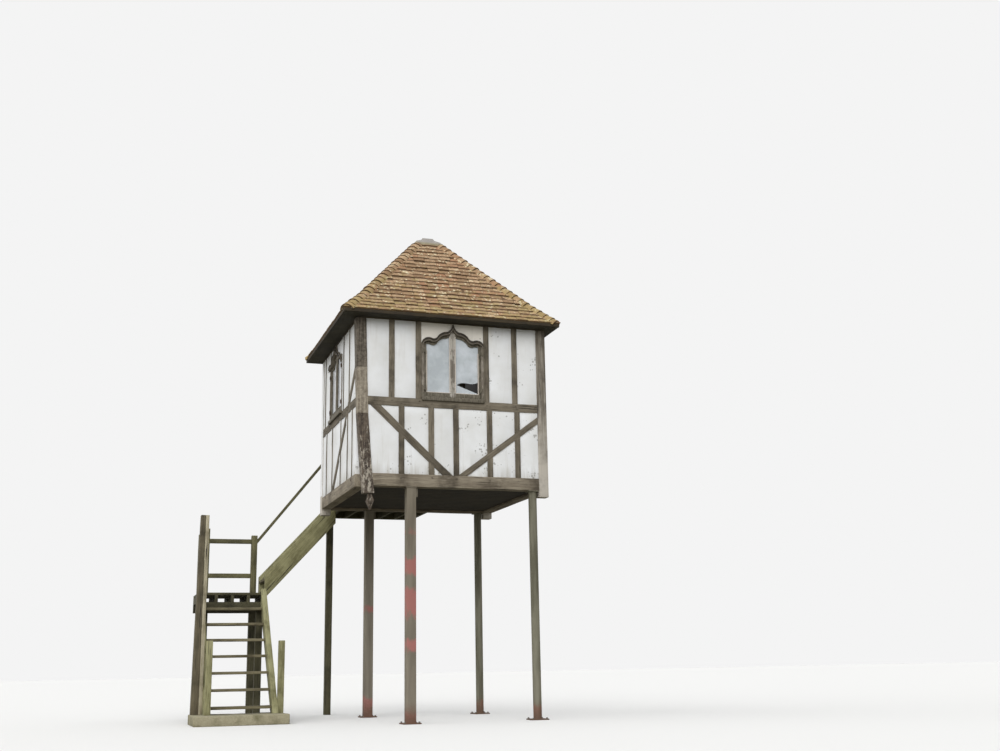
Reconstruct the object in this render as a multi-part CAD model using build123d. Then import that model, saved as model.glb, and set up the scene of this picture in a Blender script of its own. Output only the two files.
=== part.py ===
from build123d import *
import math
import os

# Tree house: a small timber-framed cabin with rendered panels, shouldered ogee windows and a
# pyramid roof of plain clay tiles. It stands three metres up on steel posts, and an open-tread
# stair turns on a landing to reach a platform and a door at the back.
# Millimetres, Z up, the front wall faces -Y. Every height is above the ground under the posts.
# The pieces are modelled about the plan centre of the cabin and moved at the end so that the
# origin is under the middle of the whole house.

# Cabin plan and levels
cabin_width = 2700
cabin_depth = 2650
sill_bottom = 3045
sill_height = 168
sill_thickness = 150
rail_bottom = 4138
rail_height = 117
rail_thickness = 100
wall_top = 5341
plate_height = 140
plate_thickness = 120
floor_thickness = 25
joist_width = 60
joist_depth = 120
joist_count = 6
under_board = 20

# Wall timbers and panels
post_size = 140
post_tail = 90
stud_width = 78
stud_depth = 95
brace_width = 96
slim_brace_width = 78
brace_depth = 45
brace_spare = 576
panel_recess = 10
panel_thickness = 62

# Carved corner post at the front left: its head leans out to the left, its foot bows to the right
post_lean = 33
lean_at_repair = 18
bow_at_middle = 3
bow_at_sill = 66
post_bow = 95
pendant_bow = 120
repair_above_rail = 512
bow_middle_below_rail = 120
carved_post_tail = 99
pendant_neck_height = 38
pendant_neck_size = 62
pendant_size = 96
pendant_shoulder = 60
pendant_point = 118
pendant_tip_size = 16

# Places of the timbers along each wall, to the right of its middle as seen from outside, as
# shares of half the clear run between its corner posts. A brace has the place and the height of
# both ends and its width.
front_upper_studs = [-0.732, 0.729]
front_lower_studs = [-0.617, -0.273, 0.015, 0.415, 0.750]
front_braces = [(-0.940, 4163, -0.107, 3232, brace_width), (1.039, 4067, 0.126, 3248, slim_brace_width)]
side_upper_studs = [-0.898, 0.582]
side_lower_studs = [-0.768, -0.393, 0.122, 0.519, 0.781]
side_braces = [(0.960, 4664, -0.311, 3213, brace_width)]
back_studs = [-0.748, -0.397, 0.851]
back_braces = [(-0.983, 4120, -0.273, 3232, brace_width)]

# Middles of the windows, to the right of the middle of the wall
front_window_x = -22
side_window_x = -190

# Windows: a frame with a shouldered ogee head, two casements and their glass
window_width = 894
window_gap = 2
window_below_plate = 10
frame_jamb = 36
frame_bottom = 40
frame_depth = 88
frame_proud = 8
hood_drop = 48
hood_proud = 34
drip_proud = 32
drip_height = 22
casement_gap = 2
casement_stile = 33
casement_bottom = 52
casement_thickness = 42
casement_set_back = 6
glass_thickness = 4

# The ogee as arcs from its tip outwards: a middle point and an end point for each arc,
# across from the tip and down from the tip, for a window of the width above
ogee_half = 447
ogee_arcs = [
    ((30, -74), (80, -112)),
    ((150, -129), (210, -174)),
    ((247, -214), (296, -221)),
    ((388, -217), (447, -292)),
]
shard_edge = [(59, 224), (181, 258), (289, 252), (384, 296)]
shard_low = 107

# Door at the back
door_width = 740
over_door = 204
door_thickness = 44
door_gap = 4
door_jamb = 55
door_stop = 16
door_frame_depth = 95
door_set_back = 20
ledge_height = 110
ledge_thickness = 24
ledge_inset = 30
ledge_from_end = 180

# Roof: a pyramid with a flatter foot, cut off under a lead cap
eave_overhang_left = 255
eave_overhang_right = 155
eave_overhang_front = 240
eave_overhang_back = 100
eave_below_plate = 71
foot_run = 300
foot_pitch = 45
main_pitch = 49
cap_half = 120
tile_drop = 62
eave_edge = 26
rafter_drop = 120
rafter_width = 50
rafter_offset = 450
fascia_set_back = 14
fascia_thickness = 22
soffit_thickness = 20
soffit_above_wall = 14
bonnet_tail = 130
bonnet_head = 112
bonnet_gauge = 119
bonnet_sides = 18
hip_sink = 118
cap_skirt = 62
cap_lip = 14
cap_rise = 26
knob_size = 200
knob_top = 160
knob_height = 36

# Steel posts under the cabin
square_post_size = 127
square_post_wall = 6
square_post_x = -606
round_post_diameter = 114
round_post_wall = 5
round_post_clear = 1
foot_plate_size = 240
foot_plate_thickness = 15
cap_plate_size = 150
cap_plate_thickness = 12
cleat_width = 30
cleat_depth = 60
cleat_height = 130

# Lower stair: it rises away from the front, from a foot slab to the landing
slab_left = 3220
slab_right = 1970
slab_front = 150
slab_back = 720
slab_height = 130
string_thickness = 75
stair_left = 3050
stair_width = 990
lower_first_nosing = 400
lower_rise = 230
lower_going = 200
lower_rises = 8
tread_depth = 225
tread_thickness = 38
string_above = 60
string_below = 235
tall_post_foot = 150
tall_post_head = 115
tall_post_top = 2840
tall_post_y = 620
short_post_size = 82
short_post_top = 1100
short_post_y = 395

# Landing and platform
landing_depth = 950
deck_thickness = 38
deck_joist_width = 45
deck_joist_depth = 100
deck_beam_width = 75
deck_beam_depth = 125
landing_joists = 5
stage_post_size = 100
stage_post_inset = 40
platform_left = 985
platform_width = 1435
platform_joists = 6

# Upper stair: it turns right behind the cabin, from the landing to the platform
upper_rises = 6
upper_string_below = 310
upper_stair_front = 1950
upper_stair_back = 2725

# Guard rails
newel_size = 90
guard_height = 950
rail_section = 70
rail_width = 45
newel_past_wall = 210
low_rail_level = 280
hand_rail_drop = 60

# Levels and lines that follow from the driving dimensions
sill_top = sill_bottom + sill_height
rail_top = rail_bottom + rail_height
floor_top = sill_top + floor_thickness
plate_top = wall_top + plate_height
window_tip = wall_top - window_below_plate
eave_top = plate_top - eave_below_plate
half_width = cabin_width / 2
half_depth = cabin_depth / 2
panel_depth = (panel_recess, panel_recess + panel_thickness)
soffit_bottom = wall_top + soffit_above_wall
eave_x = half_width + (eave_overhang_left + eave_overhang_right) / 2
eave_y = half_depth + (eave_overhang_front + eave_overhang_back) / 2
post_bottom = sill_bottom - post_tail
carved_post_bottom = sill_bottom - carved_post_tail
pendant_widest = carved_post_bottom - pendant_neck_height - pendant_shoulder
pendant_tip = pendant_widest - pendant_point
repair_top = rail_bottom + repair_above_rail
bow_middle = rail_bottom - bow_middle_below_rail
round_post_x = half_width - post_size - round_post_clear - cap_plate_size / 2
landing_front = lower_first_nosing + (lower_rises - 1) * lower_going
landing_back = landing_front + landing_depth
landing_top = lower_rises * lower_rise
stair_right = stair_left - stair_width
platform_right = platform_left - platform_width
door_x = platform_left - platform_width / 2
door_height = wall_top - over_door - door_jamb - door_gap - floor_top
upper_rise = (floor_top - landing_top) / upper_rises
upper_going = (stair_right - platform_left) / (upper_rises - 1)

# Where the four walls stand: x runs to the right as seen from outside, y runs inwards
front_place = Pos(0, -half_depth, 0)
left_place = Pos(-half_width, 0, 0) * Rot(0, 0, -90)
right_place = Pos(half_width, 0, 0) * Rot(0, 0, 90)
back_place = Pos(0, half_depth, 0) * Rot(0, 0, 180)

# Where the roof stands: its eaves reach further past the front and left walls than past the others
roof_place = Pos(
    (eave_overhang_right - eave_overhang_left) / 2, (eave_overhang_back - eave_overhang_front) / 2, 0
)


def block(x0, x1, y0, y1, z0, z1):
    """A box given by its two corners."""
    middle = Pos((x0 + x1) / 2, (y0 + y1) / 2, (z0 + z1) / 2)
    return middle * Box(x1 - x0, y1 - y0, z1 - z0)


def upright(x, y, size, z0, z1):
    """A square post about the point x, y."""
    half = size / 2
    return block(x - half, x + half, y - half, y + half, z0, z1)


def across(face, y0, y1):
    """A face drawn in x and z, made solid from y0 to y1."""
    return extrude(Plane.XZ.offset(-y1) * face, amount=y1 - y0)


def along(face, x0, x1):
    """A face drawn in y and z, made solid from x0 to x1."""
    return extrude(Plane.YZ.offset(x0) * face, amount=x1 - x0)


def pieces(shapes):
    """Several solids that share one node."""
    solids = []
    for shape in shapes:
        solids.extend(shape.solids())
    return Compound(solids)


# Corner posts

def carved_post():
    """The bowed front left post with its square drop pendant."""
    centre_x = -half_width + post_size / 2
    centre_y = -half_depth + post_size / 2
    levels = [
        (carved_post_bottom, post_bow),
        (sill_top, bow_at_sill),
        (bow_middle, bow_at_middle),
        (repair_top, -lean_at_repair),
        (wall_top, -post_lean),
    ]
    post = None
    for (z0, bow0), (z1, bow1) in zip(levels, levels[1:]):
        low = Pos(centre_x + bow0, centre_y, z0) * Rectangle(post_size, post_size)
        high = Pos(centre_x + bow1, centre_y, z1) * Rectangle(post_size, post_size)
        length = loft([low, high])
        post = length if post is None else post + length
    pendant_x = centre_x + pendant_bow
    neck_bottom = carved_post_bottom - pendant_neck_height
    post += upright(pendant_x, centre_y, pendant_neck_size, neck_bottom, carved_post_bottom)
    widest = Pos(pendant_x, centre_y, pendant_widest) * Rectangle(pendant_size, pendant_size)
    neck = Pos(pendant_x, centre_y, neck_bottom) * Rectangle(pendant_neck_size, pendant_neck_size)
    tip = Pos(pendant_x, centre_y, pendant_tip) * Rectangle(pendant_tip_size, pendant_tip_size)
    return post + loft([widest, neck]) + loft([tip, widest])


def plain_posts():
    """The other three corner posts, sawn off below the sills."""
    inset_x = half_width - post_size / 2
    inset_y = half_depth - post_size / 2
    corners = [(inset_x, -inset_y), (inset_x, inset_y), (-inset_x, inset_y)]
    return [upright(x, y, post_size, post_bottom, wall_top) for x, y in corners]


# Horizontal timbers

def wall_span(length):
    """The clear run of a wall between its corner posts, left and right of the middle."""
    half = length / 2 - post_size
    return -half, half


def sills():
    """Four sill beams, tenoned between the corner posts."""
    beams = []
    for place, length in walls:
        left, right = wall_span(length)
        beams.append(place * block(left, right, 0, sill_thickness, sill_bottom, sill_top))
    return beams


def mid_rail(length):
    """The rail between the lower and the upper panels of a wall, in the wall's own frame."""
    left, right = wall_span(length)
    return block(left, right, 0, rail_thickness, rail_bottom, rail_top)


def wall_plate():
    """The ring of plates on top of the posts, its outer edge planed off where the tiles come low."""
    outer = block(-half_width, half_width, -half_depth, half_depth, wall_top, plate_top)
    inner_x = half_width - plate_thickness
    inner_y = half_depth - plate_thickness
    ring = outer - block(-inner_x, inner_x, -inner_y, inner_y, wall_top, plate_top)
    return ring & roof_place * roof_solid(tile_drop, eave_edge)


# Shouldered ogee of the window heads

def ogee_face(half, bottom, tip):
    """The outline of a window: straight jambs under two shoulders that rise to a point."""
    stretch = half / ogee_half
    edges = []
    for side in (1, -1):
        start = (0, tip)
        for middle, end in ogee_arcs:
            through = (side * middle[0] * stretch, tip + middle[1])
            stop = (side * end[0] * stretch, tip + end[1])
            edges.append(ThreePointArc(start, through, stop))
            start = stop
        edges.append(Line(start, (side * half, bottom)))
    edges.append(Line((-half, bottom), (half, bottom)))
    return make_face(Curve() + edges)


def ogee_block(inset, bottom, drop, y0, y1):
    """The space inside the window outline, let in at the sides and lowered at the head."""
    half = window_width / 2
    body = across(ogee_face(half, bottom, window_tip - drop), y0, y1)
    return body & block(-half + inset, half - inset, y0, y1, bottom, window_tip)


def window_frame():
    """The fixed frame: jambs, sill with a drip, and the hood mould over the ogee."""
    inner = frame_depth - frame_proud
    outline = ogee_block(0, rail_top, 0, -frame_proud, inner)
    light = ogee_block(frame_jamb, rail_top + frame_bottom, hood_drop, -frame_proud, inner)
    hood = ogee_block(0, rail_top, 0, -hood_proud, -frame_proud)
    hood -= ogee_block(0, rail_top, hood_drop, -hood_proud, -frame_proud)
    half = window_width / 2
    lowest_arc = -ogee_arcs[-1][1][1]
    hood &= block(-half, half, -hood_proud, 0, window_tip - lowest_arc, window_tip)
    drip_low = rail_top - drip_height
    drip = block(-half, half, -drip_proud, 0, drip_low, rail_top + drip_height)
    drip += block(-half, half, -drip_proud, inner, rail_top, rail_top + drip_height)
    return (outline - light) + hood + drip


def casement_area(side, extra, extra_bottom, y0, y1):
    """The area of one casement, side -1 for the left and 1 for the right."""
    inset = frame_jamb + casement_gap + extra
    bottom = rail_top + frame_bottom + casement_gap + extra_bottom
    drop = hood_drop + casement_gap + extra
    area = ogee_block(inset, bottom, drop, y0, y1)
    inner_edge = casement_gap / 2 + extra
    reach = window_width / 2
    span = sorted((side * inner_edge, side * reach))
    return area & block(span[0], span[1], y0, y1, bottom, window_tip)


def casement(side):
    """One casement: stiles, rails and a head that follows the ogee."""
    y0 = casement_set_back
    y1 = y0 + casement_thickness
    bottom_extra = casement_bottom
    hole = casement_area(side, casement_stile, bottom_extra, y0, y1)
    return casement_area(side, 0, 0, y0, y1) - hole


def pane(side):
    """The glass of one casement."""
    middle = casement_set_back + casement_thickness / 2
    y0 = middle - glass_thickness / 2
    return casement_area(side, casement_stile, casement_bottom, y0, y0 + glass_thickness)


def broken_pane(side):
    """The pane of the front window from which a shard has fallen."""
    lifted = [(x, rail_top + z) for x, z in shard_edge]
    right_end = lifted[-1]
    low_corner = (right_end[0], rail_top + shard_low)
    edges = [Spline(lifted), Line(right_end, low_corner), Line(low_corner, lifted[0])]
    shard = across(make_face(Curve() + edges), 0, frame_depth)
    return pane(side) - shard


def window_opening():
    """What a window takes out of the wall."""
    return ogee_block(0, rail_top, 0, -frame_depth, frame_depth + stud_depth)


def window_studs(window_x, half):
    """The centres of the two studs that stand against a window frame."""
    reach = half + window_gap + stud_width / 2
    return [window_x - reach, window_x + reach]


# Walls

def brace(line, half_run):
    """A slanting timber on the outer face, left long past both points it runs between."""
    share_a, za, share_b, zb, width = line
    xa = half_run * share_a
    xb = half_run * share_b
    run = math.hypot(xb - xa, zb - za)
    slope = math.degrees(math.atan2(zb - za, xb - xa))
    middle = Pos((xa + xb) / 2, brace_depth / 2, (za + zb) / 2)
    return middle * Rot(0, -slope, 0) * Box(run + brace_spare, brace_depth, width)


def wall_stud(x, z0, z1):
    """A stud in a wall's own frame."""
    return block(x - stud_width / 2, x + stud_width / 2, 0, stud_depth, z0, z1)


def wall_parts(length, upper_studs, lower_studs, brace_lines, brace_top, holes, hole_studs):
    """The studs and braces, the middle rail and the panels of a wall, in its own frame."""
    left, right = wall_span(length)
    field = block(left, right, 0, stud_depth, sill_top, brace_top)
    for hole in holes:
        field -= hole
    braces = [brace(line, right) & field for line in brace_lines]
    rail = mid_rail(length)
    studs = [wall_stud(right * share, rail_top, wall_top) for share in upper_studs]
    studs += [wall_stud(x, rail_top, wall_top) for x in hole_studs]
    studs += [wall_stud(right * share, sill_top, rail_bottom) for share in lower_studs]
    panels = block(left, right, *panel_depth, sill_top, wall_top) - rail
    for timber in studs + braces + holes:
        panels -= timber
    for timber in braces:
        rail -= timber
        studs = [stud - timber for stud in studs]
    return studs, braces, rail, panels


def front_wall():
    half = window_width / 2
    hole = Pos(front_window_x, 0, 0) * window_opening()
    jambs = window_studs(front_window_x, half)
    return wall_parts(
        cabin_width, front_upper_studs, front_lower_studs, front_braces, rail_bottom, [hole], jambs
    )


def side_wall(mirrored):
    """A side wall: the right one is the left one seen in a mirror."""
    sign = -1 if mirrored else 1
    half = window_width / 2
    hole = Pos(sign * side_window_x, 0, 0) * window_opening()
    jambs = window_studs(sign * side_window_x, half)
    upper = [sign * share for share in side_upper_studs]
    lower = [sign * share for share in side_lower_studs]
    lines = [(sign * a, za, sign * b, zb, width) for a, za, b, zb, width in side_braces]
    return wall_parts(cabin_depth, upper, lower, lines, wall_top, [hole], jambs)


def back_wall():
    """The back wall, whose rail stops at the two full-height door studs."""
    half = door_width / 2 + door_jamb + door_gap
    opening = block(
        door_x - half, door_x + half, -door_frame_depth, stud_depth * 2,
        floor_top, floor_top + door_height + door_jamb + door_gap
    )
    threshold = block(
        door_x - half, door_x + half, 0, stud_depth, sill_top, floor_top
    )
    jamb_reach = half + stud_width / 2
    jambs = [wall_stud(x, sill_top, wall_top) for x in (door_x - jamb_reach, door_x + jamb_reach)]
    studs, braces, rail, panels = wall_parts(
        cabin_width, back_studs, back_studs, back_braces, rail_bottom, [opening, threshold] + jambs, []
    )
    rail -= block(
        door_x - half, door_x + half, 0, rail_thickness, rail_bottom, rail_top
    )
    for jamb in jambs:
        rail -= jamb
    head_low = floor_top + door_height + door_jamb + door_gap
    head = block(door_x - half, door_x + half, 0, stud_depth, head_low, head_low + stud_width)
    panels -= head
    surround = jambs[0] + jambs[1] + head + threshold
    return studs + [surround], braces, rail, panels


# Door

def door_frame():
    """Two jambs and a head, rebated so that the leaf shuts against their stops."""
    outer = door_width / 2 + door_gap + door_jamb
    inner = door_width / 2 + door_gap
    head = floor_top + door_height + door_gap
    frame = block(-outer, outer, 0, door_frame_depth, floor_top, head + door_jamb)
    frame -= block(-inner, inner, 0, door_set_back + door_thickness, floor_top, head)
    stop = inner - door_stop
    frame -= block(-stop, stop, 0, door_frame_depth, floor_top, head - door_stop)
    return Pos(door_x, 0, 0) * frame


def door_leaf():
    """A plank door with three ledges on its inner face."""
    half = door_width / 2
    low = floor_top + door_gap
    y0 = door_set_back
    y1 = y0 + door_thickness
    leaf = block(-half, half, y0, y1, low, floor_top + door_height)
    top_ledge = door_height - ledge_from_end - ledge_height / 2
    low_ledge = ledge_from_end
    for level in (low_ledge, (low_ledge + top_ledge) / 2, top_ledge):
        z0 = floor_top + level
        leaf += block(
            -half + ledge_inset, half - ledge_inset, y1, y1 + ledge_thickness, z0, z0 + ledge_height
        )
    return Pos(door_x, 0, 0) * leaf


# Roof

foot_rise = foot_run * math.tan(math.radians(foot_pitch))
main_run = min(eave_x, eave_y) - foot_run - cap_half
main_rise = main_run * math.tan(math.radians(main_pitch))
break_level = eave_top + foot_rise
roof_top = break_level + main_rise
crown_x = eave_x - foot_run - main_run
crown_y = eave_y - foot_run - main_run


def roof_solid(drop, edge_drop):
    """The pyramid lowered by a drop, and by another at its edge, with a straight skirt below."""
    edge = eave_top - edge_drop
    eave = Pos(0, 0, edge) * Rectangle(2 * eave_x, 2 * eave_y)
    bend = Rectangle(2 * (eave_x - foot_run), 2 * (eave_y - foot_run))
    bend = Pos(0, 0, break_level - drop) * bend
    top = Pos(0, 0, roof_top - drop) * Rectangle(2 * crown_x, 2 * crown_y)
    skirt = block(-eave_x, eave_x, -eave_y, eave_y, edge - tile_drop, edge)
    return loft([eave, bend]) + loft([bend, top]) + skirt


def roof_slopes():
    """The four tiled slopes, parted along the hips."""
    shell = roof_solid(0, 0) - roof_solid(tile_drop, eave_edge)
    corner = (eave_x, eave_y)
    crown = (crown_x, crown_y)
    front = Polyline(
        (-corner[0], -corner[1]), (corner[0], -corner[1]), (crown[0], -crown[1]), (crown[0], 0),
        (-crown[0], 0), (-crown[0], -crown[1]), close=True
    )
    side = Polyline(
        (-corner[0], -corner[1]), (-crown[0], -crown[1]), (-crown[0], crown[1]),
        (-corner[0], corner[1]), close=True
    )
    height = roof_top - eave_top + 4 * tile_drop
    low = Pos(0, 0, eave_top - 2 * tile_drop)
    front_wedge = low * extrude(make_face(front), amount=height)
    left_wedge = low * extrude(make_face(side), amount=height)
    front_slope = shell & front_wedge
    left_slope = shell & left_wedge
    return front_slope, left_slope, mirror(left_slope, Plane.YZ), mirror(front_slope, Plane.XZ)


def rafters():
    """Hip rafters at the corners and two common rafters on each slope."""
    under = roof_solid(tile_drop, eave_edge)
    under -= roof_solid(tile_drop + rafter_drop, eave_edge + rafter_drop)
    clear_x = eave_x - fascia_set_back - fascia_thickness
    clear_y = eave_y - fascia_set_back - fascia_thickness
    low = soffit_bottom + soffit_thickness
    room = block(-clear_x, clear_x, -clear_y, clear_y, low, roof_top)
    head_x = crown_x + rafter_width
    head_y = crown_y + rafter_width
    room -= block(-head_x, head_x, -head_y, head_y, low, roof_top)
    under = (under & room) - roof_place.inverse() * wall_plate()
    reach = eave_x * 2
    hips = []
    planks = []
    for sx, sy in ((-1, -1), (1, -1), (1, 1), (-1, 1)):
        start = Pos(sx * crown_x, sy * crown_y, 0)
        turn = math.degrees(math.atan2(sy, sx))
        half_plank = Pos(reach / 2, 0, eave_top) * Box(reach, rafter_width, reach * 2)
        plank = start * Rot(0, 0, turn) * half_plank
        planks.append(plank)
        hips.append(under & plank)
    commons = []
    for offset in (-rafter_offset, rafter_offset):
        for sign in (-1, 1):
            half = rafter_width / 2
            span_y = sorted((0, sign * eave_y))
            commons.append(block(offset - half, offset + half, *span_y, low, roof_top))
            span_x = sorted((0, sign * eave_x))
            commons.append(block(*span_x, offset - half, offset + half, low, roof_top))
    cut = []
    inner = rafter_offset + rafter_width
    middle = block(-inner, inner, -inner, inner, low, roof_top)
    for common in commons:
        piece = under & (common - middle)
        for plank in planks:
            piece -= plank
        cut.append(piece)
    return hips + cut


def eaves_boards():
    """The fascia under the tile edge and the soffit back to the wall, mitred all round."""
    out_x = eave_x - fascia_set_back
    out_y = eave_y - fascia_set_back
    in_x = out_x - fascia_thickness
    in_y = out_y - fascia_thickness
    soffit_top = soffit_bottom + soffit_thickness
    outer = block(-out_x, out_x, -out_y, out_y, soffit_bottom, eave_top)
    hollow = block(-in_x, in_x, -in_y, in_y, soffit_bottom, eave_top)
    fascia = (outer - hollow) & roof_solid(tile_drop, eave_edge)
    soffit = block(-out_x, out_x, -out_y, out_y, soffit_bottom, soffit_top)
    walls = block(-half_width, half_width, -half_depth, half_depth, soffit_bottom, soffit_top)
    return fascia + (soffit - roof_place.inverse() * walls)


def hip_line_points(sx, sy):
    """The eave, bend and crown points of one hip."""
    return [
        Vector(sx * eave_x, sy * eave_y, eave_top),
        Vector(sx * (eave_x - foot_run), sy * (eave_y - foot_run), break_level),
        Vector(sx * crown_x, sy * crown_y, roof_top),
    ]


def bonnet(start, along_hip, length):
    """One bonnet tile: a tapered hood whose wide tail covers the head of the bonnet below it."""
    tail = Plane(origin=start, x_dir=(along_hip.Y, -along_hip.X, 0), z_dir=along_hip)
    head = tail.offset(length)
    return loft([
        tail * RegularPolygon(bonnet_tail, bonnet_sides, rotation=90),
        head * RegularPolygon(bonnet_head, bonnet_sides, rotation=90),
    ])


def hip_cover(sx, sy):
    """The row of bonnet tiles over one hip, bedded on the two slopes from eave to lead cap."""
    points = [point - Vector(0, 0, hip_sink) for point in hip_line_points(sx, sy)]
    row = []
    for start, end in zip(points, points[1:]):
        run = end - start
        along_hip = run.normalized()
        count = round(run.length / bonnet_gauge)
        step = run.length / count
        for i in range(count):
            row.append(bonnet(start + along_hip * (i * step), along_hip, step))
    body = row[0].fuse(*row[1:])
    cap_x = crown_x + cap_skirt
    cap_y = crown_y + cap_skirt
    cap_room = block(-cap_x, cap_x, -cap_y, cap_y, eave_top, roof_top + bonnet_tail)
    body &= block(-eave_x, eave_x, -eave_y, eave_y, eave_top - tile_drop, roof_top)
    return body - roof_solid(0, 0) - cap_room


def lead_cap():
    """A dressed lead cap over the cut-off top, with a small square knob."""
    out_x = crown_x + cap_skirt
    out_y = crown_y + cap_skirt
    skirt_drop = cap_skirt * math.tan(math.radians(main_pitch))
    low = Pos(0, 0, roof_top - skirt_drop) * Rectangle(2 * out_x, 2 * out_y)
    lip = Pos(0, 0, roof_top + cap_lip - skirt_drop) * Rectangle(2 * out_x, 2 * out_y)
    shoulder = Pos(0, 0, roof_top + cap_lip) * Rectangle(2 * crown_x, 2 * crown_y)
    crown_level = roof_top + cap_lip + cap_rise
    crown = Pos(0, 0, crown_level) * Rectangle(knob_size, knob_size)
    knob_low = Pos(0, 0, crown_level) * Rectangle(knob_size, knob_size)
    knob_high = Pos(0, 0, crown_level + knob_height) * Rectangle(knob_top, knob_top)
    body = loft([low, lip]) + loft([lip, shoulder]) + loft([shoulder, crown])
    body += loft([knob_low, knob_high])
    return body - roof_solid(0, 0)


# Floor

def floor_joists():
    """Joists from the front sill to the back sill."""
    reach = half_width - sill_thickness - joist_width / 2
    step = 2 * reach / (joist_count - 1)
    inner = half_depth - sill_thickness
    low = sill_top - joist_depth
    joists = []
    for i in range(joist_count):
        x = -reach + i * step
        joists.append(block(x - joist_width / 2, x + joist_width / 2, -inner, inner, low, sill_top))
    return joists


def floor_boards():
    inner_x = half_width - stud_depth
    inner_y = half_depth - stud_depth
    boards = block(-inner_x, inner_x, -inner_y, inner_y, sill_top, floor_top)
    reach = post_size - stud_depth
    for sx in (-1, 1):
        for sy in (-1, 1):
            corner = Pos(sx * inner_x, sy * inner_y, (sill_top + floor_top) / 2)
            boards -= corner * Box(2 * reach, 2 * reach, floor_thickness)
    return boards


def under_boards():
    """The boarding nailed under the joists, between the sills."""
    inner_x = half_width - sill_thickness
    inner_y = half_depth - sill_thickness
    joist_bottom = sill_top - joist_depth
    return block(-inner_x, inner_x, -inner_y, inner_y, joist_bottom - under_board, joist_bottom)


# Steel posts

post_line = half_depth - sill_thickness / 2
steel_top = sill_bottom - cap_plate_thickness


def square_steel_post(y):
    """A square hollow section with a foot plate, a cap plate and a cleat."""
    outer = upright(square_post_x, y, square_post_size, foot_plate_thickness, steel_top)
    hollow = square_post_size - 2 * square_post_wall
    tube = outer - upright(square_post_x, y, hollow, foot_plate_thickness, steel_top)
    plates = upright(square_post_x, y, foot_plate_size, 0, foot_plate_thickness)
    plates += upright(square_post_x, y, cap_plate_size, steel_top, sill_bottom)
    right = square_post_x + square_post_size / 2
    cleat = block(
        right, right + cleat_width, y - cleat_depth / 2, y + cleat_depth / 2,
        sill_bottom - cleat_height, steel_top
    )
    return tube + plates + cleat


def round_steel_post(y):
    """A round tube with a foot plate and a cap plate."""
    height = steel_top - foot_plate_thickness
    radius = round_post_diameter / 2
    centre = Pos(round_post_x, y, foot_plate_thickness + height / 2)
    tube = centre * (Cylinder(radius, height) - Cylinder(radius - round_post_wall, height))
    plates = upright(round_post_x, y, foot_plate_size, 0, foot_plate_thickness)
    return tube + plates + upright(round_post_x, y, cap_plate_size, steel_top, sill_bottom)


# Stairs

def string_face(nosing, level, rise, going, start, end, base, below):
    """The side outline of a string: it follows the nosing line and is cut plumb at its ends."""
    slope = rise / going
    upper = level + string_above - slope * nosing
    lower = level - below - slope * nosing
    if base is None:
        foot = [(start, lower + slope * start), (start, upper + slope * start)]
    else:
        foot = [((base - lower) / slope, base), ((base - upper) / slope, base)]
    head = [(end, upper + slope * end), (end, lower + slope * end)]
    return make_face(Polyline(*foot, *head, close=True))


def lower_strings():
    """The two strings of the lower stair, standing on the foot slab."""
    face = string_face(
        lower_first_nosing, lower_rise, lower_rise, lower_going,
        lower_first_nosing, landing_front, slab_height, string_below
    )
    left = along(face, -stair_left, -stair_left + string_thickness)
    right = along(face, -stair_right - string_thickness, -stair_right)
    return [left, right]


def lower_treads():
    """Open treads housed between the strings."""
    treads = []
    for k in range(1, lower_rises):
        front = lower_first_nosing + (k - 1) * lower_going
        top = k * lower_rise
        treads.append(block(
            -stair_left + string_thickness, -stair_right - string_thickness,
            front, min(front + tread_depth, landing_front), top - tread_thickness, top
        ))
    return treads


def foot_slab():
    return block(-slab_left, -slab_right, -slab_front, slab_back, 0, slab_height)


def tall_post():
    """The tall tapered post outside the left string."""
    x = -stair_left - tall_post_foot / 2
    low = Pos(x, tall_post_y, slab_height) * Rectangle(tall_post_foot, tall_post_foot)
    shift = (tall_post_foot - tall_post_head) / 2
    high = Pos(x + shift, tall_post_y, tall_post_top) * Rectangle(tall_post_head, tall_post_head)
    return loft([low, high])


def short_posts():
    """Two short posts bolted to the feet of the strings, outside the right and in front."""
    half = short_post_size / 2
    right = upright(-stair_right + half, short_post_y, short_post_size, slab_height, short_post_top)
    string_foot = lower_first_nosing
    string_foot += (slab_height - lower_rise - string_above) * lower_going / lower_rise
    left_x = -stair_left + string_thickness / 2
    left = upright(left_x, string_foot - half, short_post_size, slab_height, short_post_top)
    return [left, right]


def stage_joists(x0, x1, y0, y1, top, count):
    """Joists under a deck, spread evenly from x0 to x1."""
    step = (x1 - x0 - deck_joist_width) / (count - 1)
    joists = []
    for i in range(count):
        x = x0 + i * step
        joists.append(block(
            x, x + deck_joist_width, y0, y1, top - deck_joist_depth, top
        ))
    return joists


landing_joist_top = landing_top - deck_thickness
landing_beam_top = landing_joist_top - deck_joist_depth
landing_post_top = landing_beam_top - deck_beam_depth
platform_joist_top = floor_top - deck_thickness
platform_post_top = platform_joist_top - deck_joist_depth


def stage_beams():
    """Joists on two beams under the landing, and joists between sill and beam under the platform."""
    front = block(
        -stair_left, -stair_right, landing_front, landing_front + deck_beam_width,
        landing_post_top, landing_beam_top
    )
    back = block(
        -stair_left, -stair_right, landing_back - deck_beam_width, landing_back,
        landing_post_top, landing_beam_top
    )
    far_beam = landing_back - deck_beam_width
    far = block(
        -platform_left, -platform_right, far_beam, landing_back,
        platform_post_top, platform_joist_top
    )
    landing = stage_joists(
        -stair_left, -stair_right, landing_front, landing_back, landing_joist_top, landing_joists
    )
    platform = stage_joists(
        -platform_left, -platform_right, half_depth, far_beam,
        platform_joist_top, platform_joists
    )
    first = front + back
    for joist in landing:
        first += joist
    for joist in platform:
        far += joist
    return [first, far]


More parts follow.
